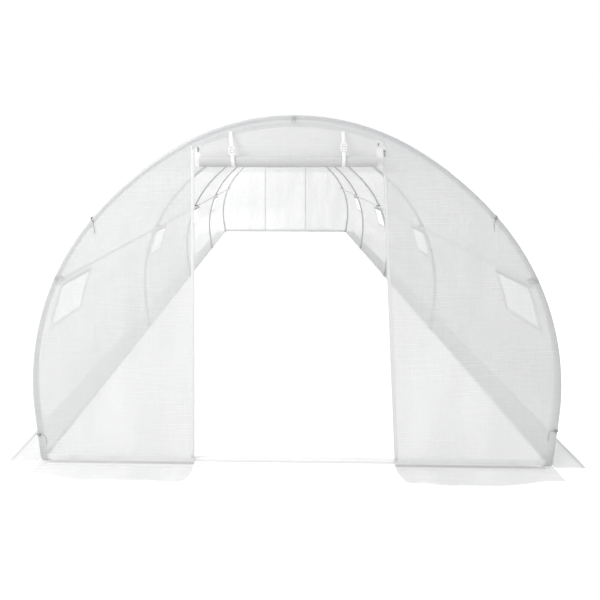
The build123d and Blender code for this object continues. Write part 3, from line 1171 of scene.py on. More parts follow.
def screw_nodes(shape: ShapeTree) -> Socket:
    """Set a washer and a hexagon head on each point, along the direction that the point carries.

    Args:
        shape: the tree, run on loose points with an axis each.

    Returns:
        The screws.
    """
    graph = shape.graph
    head, height = shape.size("Head"), shape.size("Height")
    inputs = {"Vertices": 16, "Radius": head * 1.45, "Depth": height * 0.3}
    washer = graph.fed("GeometryNodeMeshCylinder", inputs)
    inputs = {"Vertices": 6, "Radius": head, "Depth": height}
    hexagon = graph.fed("GeometryNodeMeshCylinder", inputs)
    inputs = {"Geometry": hexagon.outputs["Mesh"], "Translation": graph.join(0.0, 0.0, height * 0.6)}
    raised = graph.fed("GeometryNodeTransform", inputs)
    both = graph.node("GeometryNodeJoinGeometry")
    graph.feed(both.inputs[0], washer.outputs["Mesh"])
    graph.feed(both.inputs[0], raised.outputs[0])
    axis = graph.fed("GeometryNodeInputNamedAttribute", {"Name": "axis"}, data_type="FLOAT_VECTOR")
    inputs = {"Vector": axis.outputs["Attribute"]}
    turned = graph.fed("FunctionNodeAlignRotationToVector", inputs, axis="Z")
    return shape.set_out(shape.source.outputs["Geometry"], both.outputs[0], turned.outputs[0])


@cache
def screw_tree() -> ShapeTree:
    """The tree that sets screws on points."""
    return ShapeTree("screws_on_points", {"Head": 0.0055, "Height": 0.004}, screw_nodes)


# Sub-assemblies

@dataclass
class Cover:
    """The long sheet over the hoops, with its windows, and the side skirts it ends in."""

    window_top: float = math.radians(70.0993)
    window_foot: float = math.radians(79.8677)
    window_starts: tuple[float, ...] = tuple(hoop + 0.13 for hoop in ARCH.hoops[:-1])
    window_length: float = 0.260
    border: float = 0.028
    hem: float = 0.045
    step: float = 0.0235
    flap_length: float = 0.280
    flap_lap: float = 0.014
    flap_radius: float = 0.015
    flap_pitch: float = 0.0020
    flap_lead: float = 0.02
    hem_seam: float = 0.006
    border_seam: float = 0.005
    skirt_hem: float = 0.02
    skirt_seam: float = 0.016
    over_hem: float = 0.0022
    screen_lap: float = 0.012
    screen_lift: float = -0.0009
    tape: tuple[float, float, float] = (0.012, 0.0012, 0.0005)
    tape_places: Pair = (-0.55, 0.55)
    tape_lift: float = 0.0016

    def window_runs(self) -> Pair:
        """Lengths from the crown to a window's upper and lower edge."""
        return ARCH.run(self.window_top), ARCH.run(self.window_foot)

    def openings(self) -> list[tuple[float, float, float, float]]:
        """Every window on the flat sheet: low and high X, low and high Y."""
        high, low = self.window_runs()
        found = []
        for side in Side:
            for start in self.window_starts:
                ends = sorted((side.value * high, side.value * low))
                found.append((ends[0], ends[1], start, start + self.window_length))
        return found

    def build(self) -> None:
        """Make the cover, its hems, screens and rolled flaps."""
        piece = self.sheet()
        sewn = self.hems()
        edge, lying = ARCH.edge(), ARCH.edge() - ARCH.ground() - ARCH.fold * ARCH.side_end
        area = 4 * edge * ARCH.hoops[-1] + 4 * lying * (ARCH.half_length - ARCH.hoops[-1])
        area -= sum((x1 - x0) * (y1 - y0) for x0, x1, y0, y1 in self.openings())
        size = (2 * edge, 2 * ARCH.half_length)
        self.screens()
        self.flaps()

    def sheet(self) -> bpy.types.Object:
        """The sheet itself, cut flat with its window openings and bent over the hoops."""
        high, low = self.window_runs()
        edge = ARCH.edge()
        turned = ARCH.ground() + ARCH.fold * ARCH.side_end
        keys = [0.0, edge, ARCH.ground(), turned, high, low]
        across = lines([*keys, *(-key for key in keys)], self.step)
        fold = np.linspace(ARCH.ground(), turned, 5)
        across = np.unique(np.round(np.concatenate([across, fold, -fold]), 6))
        sills = [y for start in self.window_starts for y in (start, start + self.window_length)]
        along = lines([-ARCH.half_length, ARCH.half_length, *ARCH.hoops, *sills], 0.026)
        x = (across[1:] + across[:-1]) / 2
        y = (along[1:] + along[:-1]) / 2
        keep = np.ones((len(y), len(x)), bool)
        keep[np.abs(y) > ARCH.hoops[-1]] = np.abs(x) > turned
        for x0, x1, y0, y1 in self.openings():
            keep &= ~(((y > y0) & (y < y1))[:, None] & ((x > x0) & (x < x1))[None, :])
        mesh = bend_tree().run(flat_sheet(across, along, keep), FINISH.sheet.material())
        piece = add_piece("cover_sheet", mesh, FINISH.sheet.material())
        bands = ("roof", "shoulder", "upper_wall", "window_wall", "lower_wall", "skirt")
        nodes = [f"{side}_{band}" for side in ("left", "right") for band in bands]
        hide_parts("roof_crown", *nodes)
        return piece

    def band(self, x0: float, x1: float, y0: float, y1: float, lift: float = 0.0012) -> Mesh:
        """A flat strip of doubled sheet, a little proud of the cover."""
        across = lines([x0, x1], 0.03)
        along = lines([y0, y1, *(hoop for hoop in ARCH.hoops if y0 < hoop < y1)], 0.04)
        return flat_sheet(across, along, lift=lift)

    def hems(self) -> list[bpy.types.Object]:
        """Doubled strips: over the end hoops, along the skirts' edges and round each window."""
        edge, lift, strips, seams = ARCH.edge(), self.over_hem, [], []
        for end in End:
            y = sorted((end.value * ARCH.hoops[-1], end.value * (ARCH.hoops[-1] - self.hem)))
            strips.append(self.band(-ARCH.ground(), ARCH.ground(), *y))
            inside = end.value * (ARCH.hoops[-1] - self.hem + self.hem_seam)
            seams.append(wire([(x, inside, lift) for x in lines([-ARCH.ground(), ARCH.ground()], 0.02)]))
        for side in Side:
            x = sorted((side.value * edge, side.value * (edge - self.skirt_hem)))
            strips.append(self.band(*x, -ARCH.half_length, ARCH.half_length))
            x = side.value * (edge - self.skirt_seam)
            seams.append(wire([(x, y, lift) for y in lines([-ARCH.half_length, ARCH.half_length], 0.05)]))
        for x0, x1, y0, y1 in self.openings():
            b = self.border
            strips += [self.band(x0 - b, x0, y0 - b, y1 + b), self.band(x1, x1 + b, y0 - b, y1 + b)]
            strips += [self.band(x0, x1, y0 - b, y0), self.band(x0, x1, y1, y1 + b)]
            for inset in (self.border_seam, b - self.border_seam):
                left, right, near, far = x0 - inset, x1 + inset, y0 - inset, y1 + inset
                ring = [(left, near), (right, near), (right, far), (left, far)]
                path = []
                for a, c in zip(ring, ring[1:] + ring[:1]):
                    for t in np.linspace(0, 1, 12, endpoint=False):
                        path.append(((1 - t) * a[0] + t * c[0], (1 - t) * a[1] + t * c[1], lift))
                seams.append(wire(path, close=True))
        mesh = bend_tree().run(merge(strips), FINISH.hem.material())
        strips = add_piece("cover_hems", mesh, FINISH.hem.material())
        rows = [row_tree().run(seam, FINISH.thread.material()) for seam in seams]
        mesh = bend_tree().run(merge(rows), FINISH.thread.material())
        return [strips, add_piece("cover_stitching", mesh, FINISH.thread.material(), smooth=False)]

    def screens(self) -> None:
        """The netting that closes each window, sewn in behind the border."""
        lap = self.screen_lap
        for number, (x0, x1, y0, y1) in enumerate(self.openings(), start=1):
            across = lines([x0 - lap, x1 + lap], 0.02)
            along = lines([y0 - lap, y1 + lap], 0.02)
            mesh = flat_sheet(across, along, lift=self.screen_lift)
            mesh = bend_tree().run(mesh, FINISH.screen.material())
            piece = add_piece(f"window_screen_{number}", mesh, FINISH.screen.material())
            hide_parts("window_screens")

    def flaps(self) -> None:
        """The window flaps, rolled up over the windows and held by two tapes each."""
        inner = math.sqrt(self.flap_radius**2 - self.flap_length * self.flap_pitch / math.pi)
        turns = (self.flap_radius - inner) / self.flap_pitch
        half = self.window_length / 2 + self.flap_lap
        tapes = []
        for number, (x0, x1, y0, y1) in enumerate(self.openings(), start=1):
            side = 1 if x0 > 0 else -1
            top = side * (self.window_runs()[0] - self.flap_lap)
            run = np.linspace(0, 1, round(turns * 16)) ** 0.8 * self.flap_length
            lead = np.linspace(-self.flap_lead, 0, 3, endpoint=False)
            mesh = flat_sheet(np.linspace(-half, half, 18), np.concatenate([lead, run]))
            mesh = roll_tree().run(
                mesh, FINISH.rolled.material(), outer_radius=self.flap_radius, layer_pitch=self.flap_pitch,
                half_length=half, slack=0.0016, seed=number * 3.0,
            )
            lift = self.flap_radius + self.over_hem
            place = Matrix(((0, 0, -side, top), (1, 0, 0, (y0 + y1) / 2), (0, -1, 0, lift), (0, 0, 0, 1)))
            mesh.transform(place)
            mesh = bend_tree().run(mesh, FINISH.rolled.material())
            piece = add_piece(f"window_flap_{number}", mesh, FINISH.rolled.material())
            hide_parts("window_flaps")
            for share in self.tape_places:
                turn = np.linspace(-0.5 * math.pi, 1.5 * math.pi, 25)
                radius = self.flap_radius + self.tape_lift
                outs = [Vector((math.cos(t), 0, math.sin(t))) for t in turn]
                middle = Vector((top, (y0 + y1) / 2 + share * half, lift))
                path = [middle + out * radius for out in outs]
                widths = [Vector((0, 1, 0))] * len(turn)
                tapes.append(swept(path, widths, outs, rounded(*self.tape, 2)))
        mesh = bend_tree().run(merge(tapes), FINISH.webbing.material())
        add_piece("flap_tapes", mesh, FINISH.webbing.material())


def drawn_in(height: np.ndarray | float, from_wall: np.ndarray | float) -> np.ndarray:
    """How far the foot of an end sheet is drawn in to the base rail.

    Args:
        height: height of the place above the ground.
        from_wall: its distance from the end hoop.

    Returns:
        The distance from the sheet's plane.
    """
    return RAIL_REACH * (1 - smooth(height, *DRAWN_HEIGHTS)) * smooth(from_wall, *DRAWN_FROM_WALL)


def zip_parts(
    path: Sequence[Vector], end: End, line: Sequence[Point], width: float, height: float
) -> tuple[Mesh, Mesh]:
    """One zip on an end of the tunnel.

    Args:
        path: the middle of the tape.
        end: the end that it faces.
        line: the line of the teeth.
        width: width of a tooth.
        height: height of a tooth.

    Returns:
        The tape and the row of teeth.
    """
    across, out = [Vector((1, 0, 0))] * len(path), [Vector((0, end.value, 0))] * len(path)
    tape = swept(path, across, out, rounded(ZIP_WIDTH, 0.0014, 0.0006, 2))
    sizes = {"pitch": 0.006, "length": 0.0032, "width": width, "height": height}
    return tape, row_tree().run(wire(line), FINISH.teeth.material(), **sizes)


@dataclass
class EndSheet:
    """One end of the tunnel: the sheet in the arch, cut out for the door, and its flaps on the ground."""

    end: End
    door: tuple[Sequence[Sequence[float]], ...]
    corner_angles: Pair
    flap: float
    nodes: tuple[str, ...]
    seed: float = 1.0
    flap_corner: float = 0.060
    wrap_steps: int = 6
    deep: int = 46
    counts: tuple[int, int, int] = (64, 58, 64)
    crowding: float = 1.4
    slack_from_hoop: Pair = (0.02, 0.22)
    slack_from_ground: Pair = (0.04, 0.32)
    slack_from_door: Pair = (0.0, 0.15)
    slack_at_door: float = 0.3
    slack_width: float = 0.4
    fold_rows: int = 5
    flat_rows: int = 10
    wall_short: float = 0.028
    paces: tuple[float, ...] = (8, 21, 7, 17)
    edge_waves: Pair = (0.003, 0.002)
    lift_waves: Pair = (0.007, 0.004)

    @property
    def name(self) -> str:
        """The word that starts the names of this end's pieces."""
        return self.end.name.lower()

    def build(self) -> None:
        """Make the sheet and its ground flaps."""
        self.sheet()
        self.flaps()

    def foot(self) -> float:
        """Height at which the sheet turns out on the ground."""
        return ARCH.skirt_height + ARCH.fold

    def columns(self) -> tuple[np.ndarray, np.ndarray]:
        """The sheet's lines from the arch in to the door.

        Returns:
            Where each line starts, as a length from the crown, and X and Z of where it ends.
        """
        keys = [-ARCH.ground(), *(ARCH.run(angle) for angle in self.corner_angles), ARCH.ground()]
        starts, ends = [], []
        for number, (line, count) in enumerate(zip(self.door, self.counts)):
            share = np.linspace(0, 1, count, endpoint=number == 2)
            share = (share**self.crowding, share, 1 - (1 - share) ** self.crowding)[number]
            starts.append(keys[number] + share * (keys[number + 1] - keys[number]))
            ends.append(along_line(line, share))
        return np.concatenate(starts), np.concatenate(ends)

    def sheet(self) -> None:
        """The sheet, drawn round the end hoop's tube, down to the door and the rail, in shallow folds."""
        runs, inner = self.columns()
        arch = np.array([ARCH.at(run, -ARCH.sheet_out) for run in runs])
        outward = np.stack([np.sin(arch[:, 2]), np.cos(arch[:, 2])], axis=1)
        hoop, low = ARCH.hoops[-1], self.foot()
        width = np.linalg.norm(inner - arch[:, :2], axis=1)
        places, depths, flats, slacks = [], [], [], []
        for step in range(self.wrap_steps):
            turn = math.pi / 2 * step / self.wrap_steps
            places.append(arch[:, :2] + outward * ARCH.sheet_out * math.cos(turn))
            depths.append(np.full(len(runs), hoop + (ARCH.half_length - hoop) * math.sin(turn)))
            wrapped = (math.pi / 2 - turn) * (ARCH.sheet_out + ARCH.half_length - hoop) / 2
            flats.append(arch[:, :2] + outward * wrapped)
            slacks.append(np.zeros(len(runs)))
        for share in np.linspace(0, 1, self.deep):
            place = arch[:, :2] * (1 - share) + inner * share
            place[:, 1] = np.maximum(place[:, 1], low)
            gone, left = share * width, (1 - share) * width
            places.append(place)
            flats.append(place)
            depths.append(ARCH.half_length - drawn_in(place[:, 1], gone))
            loose = smooth(gone, *self.slack_from_hoop) * smooth(place[:, 1], *self.slack_from_ground)
            door = self.slack_at_door + (1 - self.slack_at_door) * smooth(left, *self.slack_from_door)
            slacks.append(loose * door * np.clip(width / self.slack_width, 0, 1))
        places, flat = np.concatenate(places), np.concatenate(flats)
        places[:, 1] = np.maximum(places[:, 1], low)
        points = np.stack([places[:, 0], self.end.value * np.concatenate(depths), places[:, 1]], axis=1)
        faces = grid_faces(self.wrap_steps + self.deep, len(runs))
        mesh = make_mesh(points, faces if self.end is End.REAR else faces[:, ::-1], flat)
        set_values(mesh, "slack", np.concatenate(slacks))
        mesh = hang_tree().run(mesh, FINISH.sheet.material(), seed=self.seed)
        piece = add_piece(f"{self.name}_sheet", mesh, FINISH.sheet.material())
        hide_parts(*self.nodes)
        size = (2 * (ARCH.half_width + ARCH.sheet_out), ARCH.top() + ARCH.sheet_out)

    def flaps(self) -> None:
        """The flaps that the sheet ends in, laid out on the ground beside the door."""
        start = ARCH.at(ARCH.ground())[0]
        fold = ARCH.fold * math.pi / 2
        for side in Side:
            door_x = self.door[0][0][0] if side is Side.LEFT else self.door[-1][-1][0]
            wall_x = side.value * start
            across = lines([wall_x, door_x], 0.018)
            waves = np.random.default_rng(int(self.seed * 10) + side.value).uniform(0, math.tau, 5)
            rows = []
            for x in across:
                from_door, from_wall, r = abs(x - door_x), abs(x - wall_x), self.flap_corner
                drawn = float(drawn_in(self.foot(), from_wall))
                short = r - math.sqrt(max(r * r - (r - min(from_door, r)) ** 2, 0))
                swings = [math.sin(pace * x + wave) for pace, wave in zip(self.paces, waves)]
                wave = sum(size * swing for size, swing in zip(self.edge_waves, swings))
                lift = sum(size * max(0.0, swing) for size, swing in zip(self.lift_waves, swings[2:]))
                corner = self.wall_short * (1 - float(smooth(from_wall, 0.0, 0.35)))
                length = self.flap + drawn - short + wave - corner
                bent = np.linspace(0, fold, self.fold_rows, endpoint=False)
                for s in (*bent, *np.linspace(fold, length, self.flat_rows)):
                    turn = min(s, fold) / ARCH.fold
                    flat = max(s - fold, 0)
                    out = ARCH.fold * (1 - math.cos(turn)) + flat - drawn
                    ripple = 0.0015 * (1 + math.sin(31 * x + 40 * flat + waves[4])) * min(flat / 0.03, 1)
                    height = ARCH.skirt_height + ARCH.fold * (1 - math.sin(turn)) + ripple
                    height += lift * (flat / self.flap) ** 1.6
                    rows.append((x, self.end.value * (ARCH.half_length + out), height, s))
            rows = np.array(rows)
            faces = grid_faces(len(across), self.fold_rows + self.flat_rows)
            right_way = (self.end is End.FRONT) == (side is Side.LEFT)
            mesh = make_mesh(rows[:, :3], faces if right_way else faces[:, ::-1], rows[:, [0, 3]])
            piece = add_piece(f"{self.name}_{side.name.lower()}_flap", mesh, FINISH.laid.material())
            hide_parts(f"{self.name}_skirt")
            abs(door_x - wall_x)
            self.flap + RAIL_REACH


@dataclass
class FrontDoor:
    """The front door sheet, rolled up under its curved hem, with its straps, its zips and the sill."""

    left: float = -0.566
    right_top: float = 0.499
    right_foot: float = 0.566
    head: float = 1.7082
    hem_drop: float = 0.055
    roll_radius: float = 0.0325
    roll_rise: float = 0.0040
    roll_short: float = 0.042
    roll_pitch: float = 0.0017
    length: float = 1.700
    axis_y: float = -3.0328
    strap_top: float = 1.8802
    hem_lap: float = 0.012
    hem_lift: float = 0.0042
    hem_rows: tuple[float, ...] = (-0.010, 0.002, 0.014)
    hem_seams: Pair = (-0.007, 0.011)
    strap_width: float = 0.020
    strap_lift: float = 0.0072
    strap_steps: int = 17
    straps: tuple[tuple[float, float, float], ...] = ((-0.358, -0.322, 1.766), (0.276, 0.264, 1.790))
    buckle_size: tuple[float, float, float] = (0.030, 0.046, 0.007)
    buckle_bars: Pair = (-0.008, 0.008)
    zip_foot: float = 0.030
    zip_top: float = 1.7982
    zip_lift: float = 0.0015
    pull_lift: float = 0.0075
    guard_edges: tuple[Pair, ...] = ((-0.560, -0.530), (0.465, 0.499))
    guard_feet: Pair = (1.686, 1.690)
    guard_lift: float = 0.0052
    pulls: tuple[tuple[float, float, float], ...] = (
        (-0.541, 1.779, 0.028), (0.471, 1.806, 0.016), (0.507, 1.756, 0.038)
    )

    def build(self) -> None:
        """Make the roll, its straps and buckles, the hem, the zips at both edges and the sill."""
        self.roll()
        self.hem()
        self.strap_pieces()
        self.zips()
        self.zip_pulls()
        self.guards()
        self.sill()

    def hem_height(self, x: np.ndarray | float) -> np.ndarray:
        """Height of the curved hem that the door sheet hangs from, a little inside the arch."""
        radius = ARCH.radii()[0] + ARCH.sheet_out
        return ARCH.top() + ARCH.sheet_out - self.hem_drop - radius + np.sqrt(radius**2 - np.asarray(x) ** 2)

    def outline(self) -> tuple[Sequence[Sequence[float]], ...]:
        """X and Z of the doorway's edge: up the left jamb, along the hem, down the right jamb."""
        foot = ARCH.skirt_height + ARCH.fold
        x = np.linspace(self.left, self.right_top, 41)
        hem = np.stack([x, self.hem_height(x)], axis=1)
        left = ((self.left, foot), tuple(hem[0]))
        right = (tuple(hem[-1]), (self.right_top, self.head), (self.right_foot, foot))
        return left, hem, right

    def roll(self) -> None:
        """The door sheet: it hangs from the curved hem and is rolled up at the head of the doorway."""
        low, high = self.left + self.roll_short, self.right_top - self.roll_short
        half, middle = (high - low) / 2, (high + low) / 2
        inner = math.sqrt(self.roll_radius**2 - self.length * self.roll_pitch / math.pi)
        turns = (self.roll_radius - inner) / self.roll_pitch
        x = np.linspace(-half, half, 64)
        lead = self.hem_height(x + middle) - self.head - self.roll_rise
        rows = [-lead * k for k in np.linspace(1, 0, 16, endpoint=False)]
        rows += [np.full(len(x), run) for run in np.linspace(0, 1, round(turns * 24)) ** 0.85 * self.length]
        flat = np.stack([np.tile(x, len(rows)), np.concatenate(rows)], axis=1)
        points = np.column_stack([flat, np.zeros(len(flat))])
        mesh = make_mesh(points, grid_faces(len(rows), len(x)), flat)
        mesh = roll_tree().run(
            mesh, FINISH.rolled.material(), outer_radius=self.roll_radius - 0.001,
            layer_pitch=self.roll_pitch, half_length=half, slack=0.004, sag=0.002, lead_folds=0.004, seed=4.0,
        )
        mesh.transform(Matrix.Translation((middle, self.axis_y, self.head + self.roll_rise)))
        piece = add_piece("door_roll_sheet", mesh, FINISH.rolled.material())
        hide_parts("door_roll", "front_transom")

    def hem(self) -> None:
        """The strip that joins the door sheet to the sheet over it, with two rows of stitches."""
        x = lines([self.left - self.hem_lap, self.right_top + self.hem_lap], 0.016)
        line = self.hem_height(x)
        y, rows = -ARCH.half_length - self.hem_lift, self.hem_rows
        points = np.array([(a, y, b + shift) for shift in rows for a, b in zip(x, line)])
        mesh = make_mesh(points, grid_faces(len(rows), len(x)), points[:, [0, 2]])
        strip = add_piece("door_hem", mesh, FINISH.hem.material())
        seams = [wire([(a, y - 0.0008, b + shift) for a, b in zip(x, line)]) for shift in self.hem_seams]
        stitches = [row_tree().run(seam, FINISH.thread.material(), height=0.001) for seam in seams]
        thread = FINISH.thread.material()
        sewn = add_piece("door_hem_stitching", merge(stitches), thread, smooth=False)

    def strap_line(self) -> list[tuple[float, float, float]]:
        """Y, Z and share of the length of a strap, from its top, down and round the roll."""
        radius = self.roll_radius + 0.0024
        start = (-ARCH.half_length - self.strap_lift, self.strap_top)
        axis_z = self.head + self.roll_rise
        climb, lead = self.strap_top - axis_z, start[0] - self.axis_y
        turn = math.atan2(climb, lead) + math.acos(radius / math.hypot(climb, lead))
        turns = np.linspace(turn, math.tau - 0.05, 26)
        bottom = [(self.axis_y + radius * math.cos(t), axis_z + radius * math.sin(t)) for t in turns]
        shares = np.linspace(0, 1, self.strap_steps, endpoint=False)
        path = along_line([start, bottom[0]], shares).tolist() + bottom
        run = np.concatenate([[0.0], np.cumsum([math.dist(a, b) for a, b in zip(path, path[1:])])])
        return [(y, z, r / run[-1]) for (y, z), r in zip(path, run)]

    def strap_pieces(self) -> None:
        """Webbing straps round the roll, and their buckles."""
        meshes, buckles = [], []
        for top, foot, height in self.straps:
            line = [Vector((top + share * (foot - top), y, z)) for y, z, share in self.strap_line()]
            tangents = headings(line)
            outs = [tangent.cross(Vector((1, 0, 0))).normalized() for tangent in tangents]
            widths = [out.cross(tangent) for out, tangent in zip(outs, tangents)]
            meshes.append(swept(line, widths, outs, rounded(self.strap_width, 0.0018, 0.0008, 2)))
            at = min(range(self.strap_steps), key=lambda i: abs(line[i].z - height))
            out = outs[at] if outs[at].y < 0 else -outs[at]
            buckles.append(self.buckle(line[at], tangents[at], out, widths[at]))
        piece = add_piece("door_strap_webbing", merge(meshes), FINISH.webbing.material())
        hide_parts("door_straps")
        piece = add_piece("door_strap_buckles", merge(buckles), FINISH.buckle.material())
        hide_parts("strap_buckles")

    def buckle(self, middle: Vector, down: Vector, out: Vector, across: Vector) -> Mesh:
        """A three-bar slide buckle on the straight run of a strap.

        Args:
            middle: the place on the strap.
            down: the strap's direction.
            out: its outward direction.
            across: its direction across.

        Returns:
            The buckle's mesh.
        """
        outline = rounded(0.005, 0.005, 0.0015, 3)
        frame_line = rounded(*self.buckle_size, 6)
        ring = [middle + out * 0.0038 + across * a + down * b for a, b in [*frame_line, frame_line[0]]]
        count = len(ring)
        steps = [ring[(i + 1) % (count - 1)] - ring[i - 1 if i else count - 2] for i in range(count)]
        widths = [step.normalized().cross(out) for step in steps]
        parts = [swept(ring, widths, [out] * count, outline)]
        for shift in self.buckle_bars:
            bar = [middle + out * 0.0042 + down * shift + across * k for k in np.linspace(-0.014, 0.014, 5)]
            parts.append(swept(bar, [down] * 5, [out] * 5, outline))
        return merge(parts)

    def zips(self) -> None:
        """A zip tape down each edge of the doorway, with its teeth."""
        tapes, teeth = [], []
        foot, top = self.zip_foot, self.zip_top
        edges = {
            Side.LEFT: [(self.left, foot), (self.left, top)],
            Side.RIGHT: [(self.right_foot, foot), (self.right_top, self.head), (self.right_top, top)],
        }
        for side, edge in edges.items():
            heights = lines([z for _, z in edge] + list(ZIP_FOLDS), 0.05)
            xs = np.interp(heights, [z for _, z in edge], [x for x, _ in edge])
            ys = -ARCH.half_length - self.zip_lift + drawn_in(heights, 1.0)
            path = [Vector((x + side.value * ZIP_WIDTH / 2, y, z)) for x, y, z in zip(xs, ys, heights)]
            line = [(x - side.value * 0.001, y, z) for x, y, z in zip(xs, ys, heights)]
            tape, row = zip_parts(path, End.FRONT, line, 0.004, 0.004)
            tapes.append(tape)
            teeth.append(row)
        piece = add_piece("front_zip_tapes", merge(tapes), FINISH.zip_tape.material())
        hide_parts("front_zips")
        add_piece("front_zip_teeth", merge(teeth), FINISH.teeth.material(), smooth=False)

    def zip_pulls(self) -> None:
        """Dark sliders with hanging tabs, where the zips are open at the head of the doorway."""
        parts = []
        wide, deep = Vector((1, 0, 0)), Vector((0, 1, 0))
        for x, z, height in self.pulls:
            y = -ARCH.half_length - self.pull_lift
            body = [Vector((x, y, z + height / 2 - k)) for k in (0.0, 0.004, 0.008)]
            parts.append(swept(body, [wide] * 3, [deep] * 3, rounded(0.009, 0.006, 0.0015, 2)))
            tab = [Vector((x, y - 0.002, z + height / 2 - k)) for k in np.linspace(0.006, height, 5)]
            parts.append(swept(tab, [wide] * 5, [deep] * 5, rounded(0.006, 0.002, 0.0008, 2)))
        add_piece("zip_pulls", merge(parts), FINISH.tie.material(), smooth=False)

    def guards(self) -> None:
        """The white tabs at both ends of the roll, which cover the tops of the open zips."""
        for side, (low, high), foot in zip(Side, self.guard_edges, self.guard_feet):
            top, columns, rows = self.zip_top - 0.010, 9, 24
            x, z = np.meshgrid(np.linspace(low, high, columns), np.linspace(foot, top, rows))
            y = -ARCH.half_length - self.guard_lift - 0.004 * np.sin(40 * (z - foot)) ** 2
            points = np.stack([x + 0.003 * np.sin(9 * z), y, z], axis=-1).reshape(-1, 3)
            mesh = make_mesh(points, grid_faces(rows, columns), points[:, [0, 2]])
            piece = add_piece(f"zip_guard_{side.name.lower()}", mesh, FINISH.webbing.material())

    def sill(self) -> None:
        """The sleeve of sheet round the base rail across the doorway, open along its foot."""
        radius, steps, slit, height = 0.0107, 19, 0.25, 0.0125
        x = lines([self.left + 0.002, self.right_foot - 0.002], 0.03)
        turns = np.linspace(slit, math.tau - slit, steps) - math.pi / 2
        ring = np.stack([ARCH.hoops[0] + radius * np.cos(turns), height + radius * np.sin(turns)], axis=1)
        points = np.array([(a, y, z) for a in x for y, z in ring])
        flat = np.array([(a, t * radius) for a in x for t in turns])
        mesh = make_mesh(points, grid_faces(len(x), steps)[:, ::-1], flat)
        piece = add_piece("sill_sleeve", mesh, FINISH.sleeve.material())


@dataclass
class RearDoor:
    """The closed rear door: a sheet held by a zip down each side."""

    half: float = 0.480
    head: float = 1.7082
    zip_foot: float = 0.024
    zip_lift: float = 0.0015

    def outline(self) -> tuple[Sequence[Sequence[float]], ...]:
        """X and Z of the door's edge: up the left jamb, along the head, down the right jamb."""
        foot = ARCH.skirt_height + ARCH.fold
        corners = ((-self.half, foot), (-self.half, self.head), (self.half, self.head), (self.half, foot))
        return corners[:2], corners[1:3], corners[2:]

    def build(self) -> None:
        """Make the door sheet and its zips."""
        across = lines([-self.half, self.half], 0.024)
        heights = lines([0.004, self.head], 0.028)
        x, z = np.meshgrid(across, heights)
        y = ARCH.half_length - drawn_in(z.ravel(), 1.0)
        points = np.stack([x.ravel(), y, z.ravel()], axis=1)
        faces = grid_faces(len(heights), len(across))
        mesh = make_mesh(points, faces[:, ::-1], points[:, [0, 2]])
        loose = np.clip((self.half - np.abs(x)) / 0.12, 0.1, 1)
        loose = loose * np.clip((self.head - z) / 0.2, 0, 1) * np.clip(z / 0.2, 0, 1)
        set_values(mesh, "slack", loose.ravel())
        mesh = hang_tree().run(mesh, FINISH.sheet.material(), seed=8.0)
        piece = add_piece("rear_door_sheet", mesh, FINISH.sheet.material())
        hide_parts("rear_door")
        tapes, teeth = [], []
        for side in Side:
            rise = lines([self.zip_foot, *ZIP_FOLDS, self.head], 0.05)
            depth = ARCH.half_length + self.zip_lift - drawn_in(rise, 1.0)
            path = [Vector((side.value * self.half, y, z)) for y, z in zip(depth, rise)]
            line = [point + Vector((0, 0.0012, 0)) for point in path]
            tape, row = zip_parts(path, End.REAR, line, 0.005, 0.003)
            tapes.append(tape)
            teeth.append(row)
        piece = add_piece("rear_zip_tapes", merge(tapes), FINISH.hem.material())
        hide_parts("rear_zips")
        add_piece("rear_zip_teeth", merge(teeth), FINISH.teeth.material(), smooth=False)


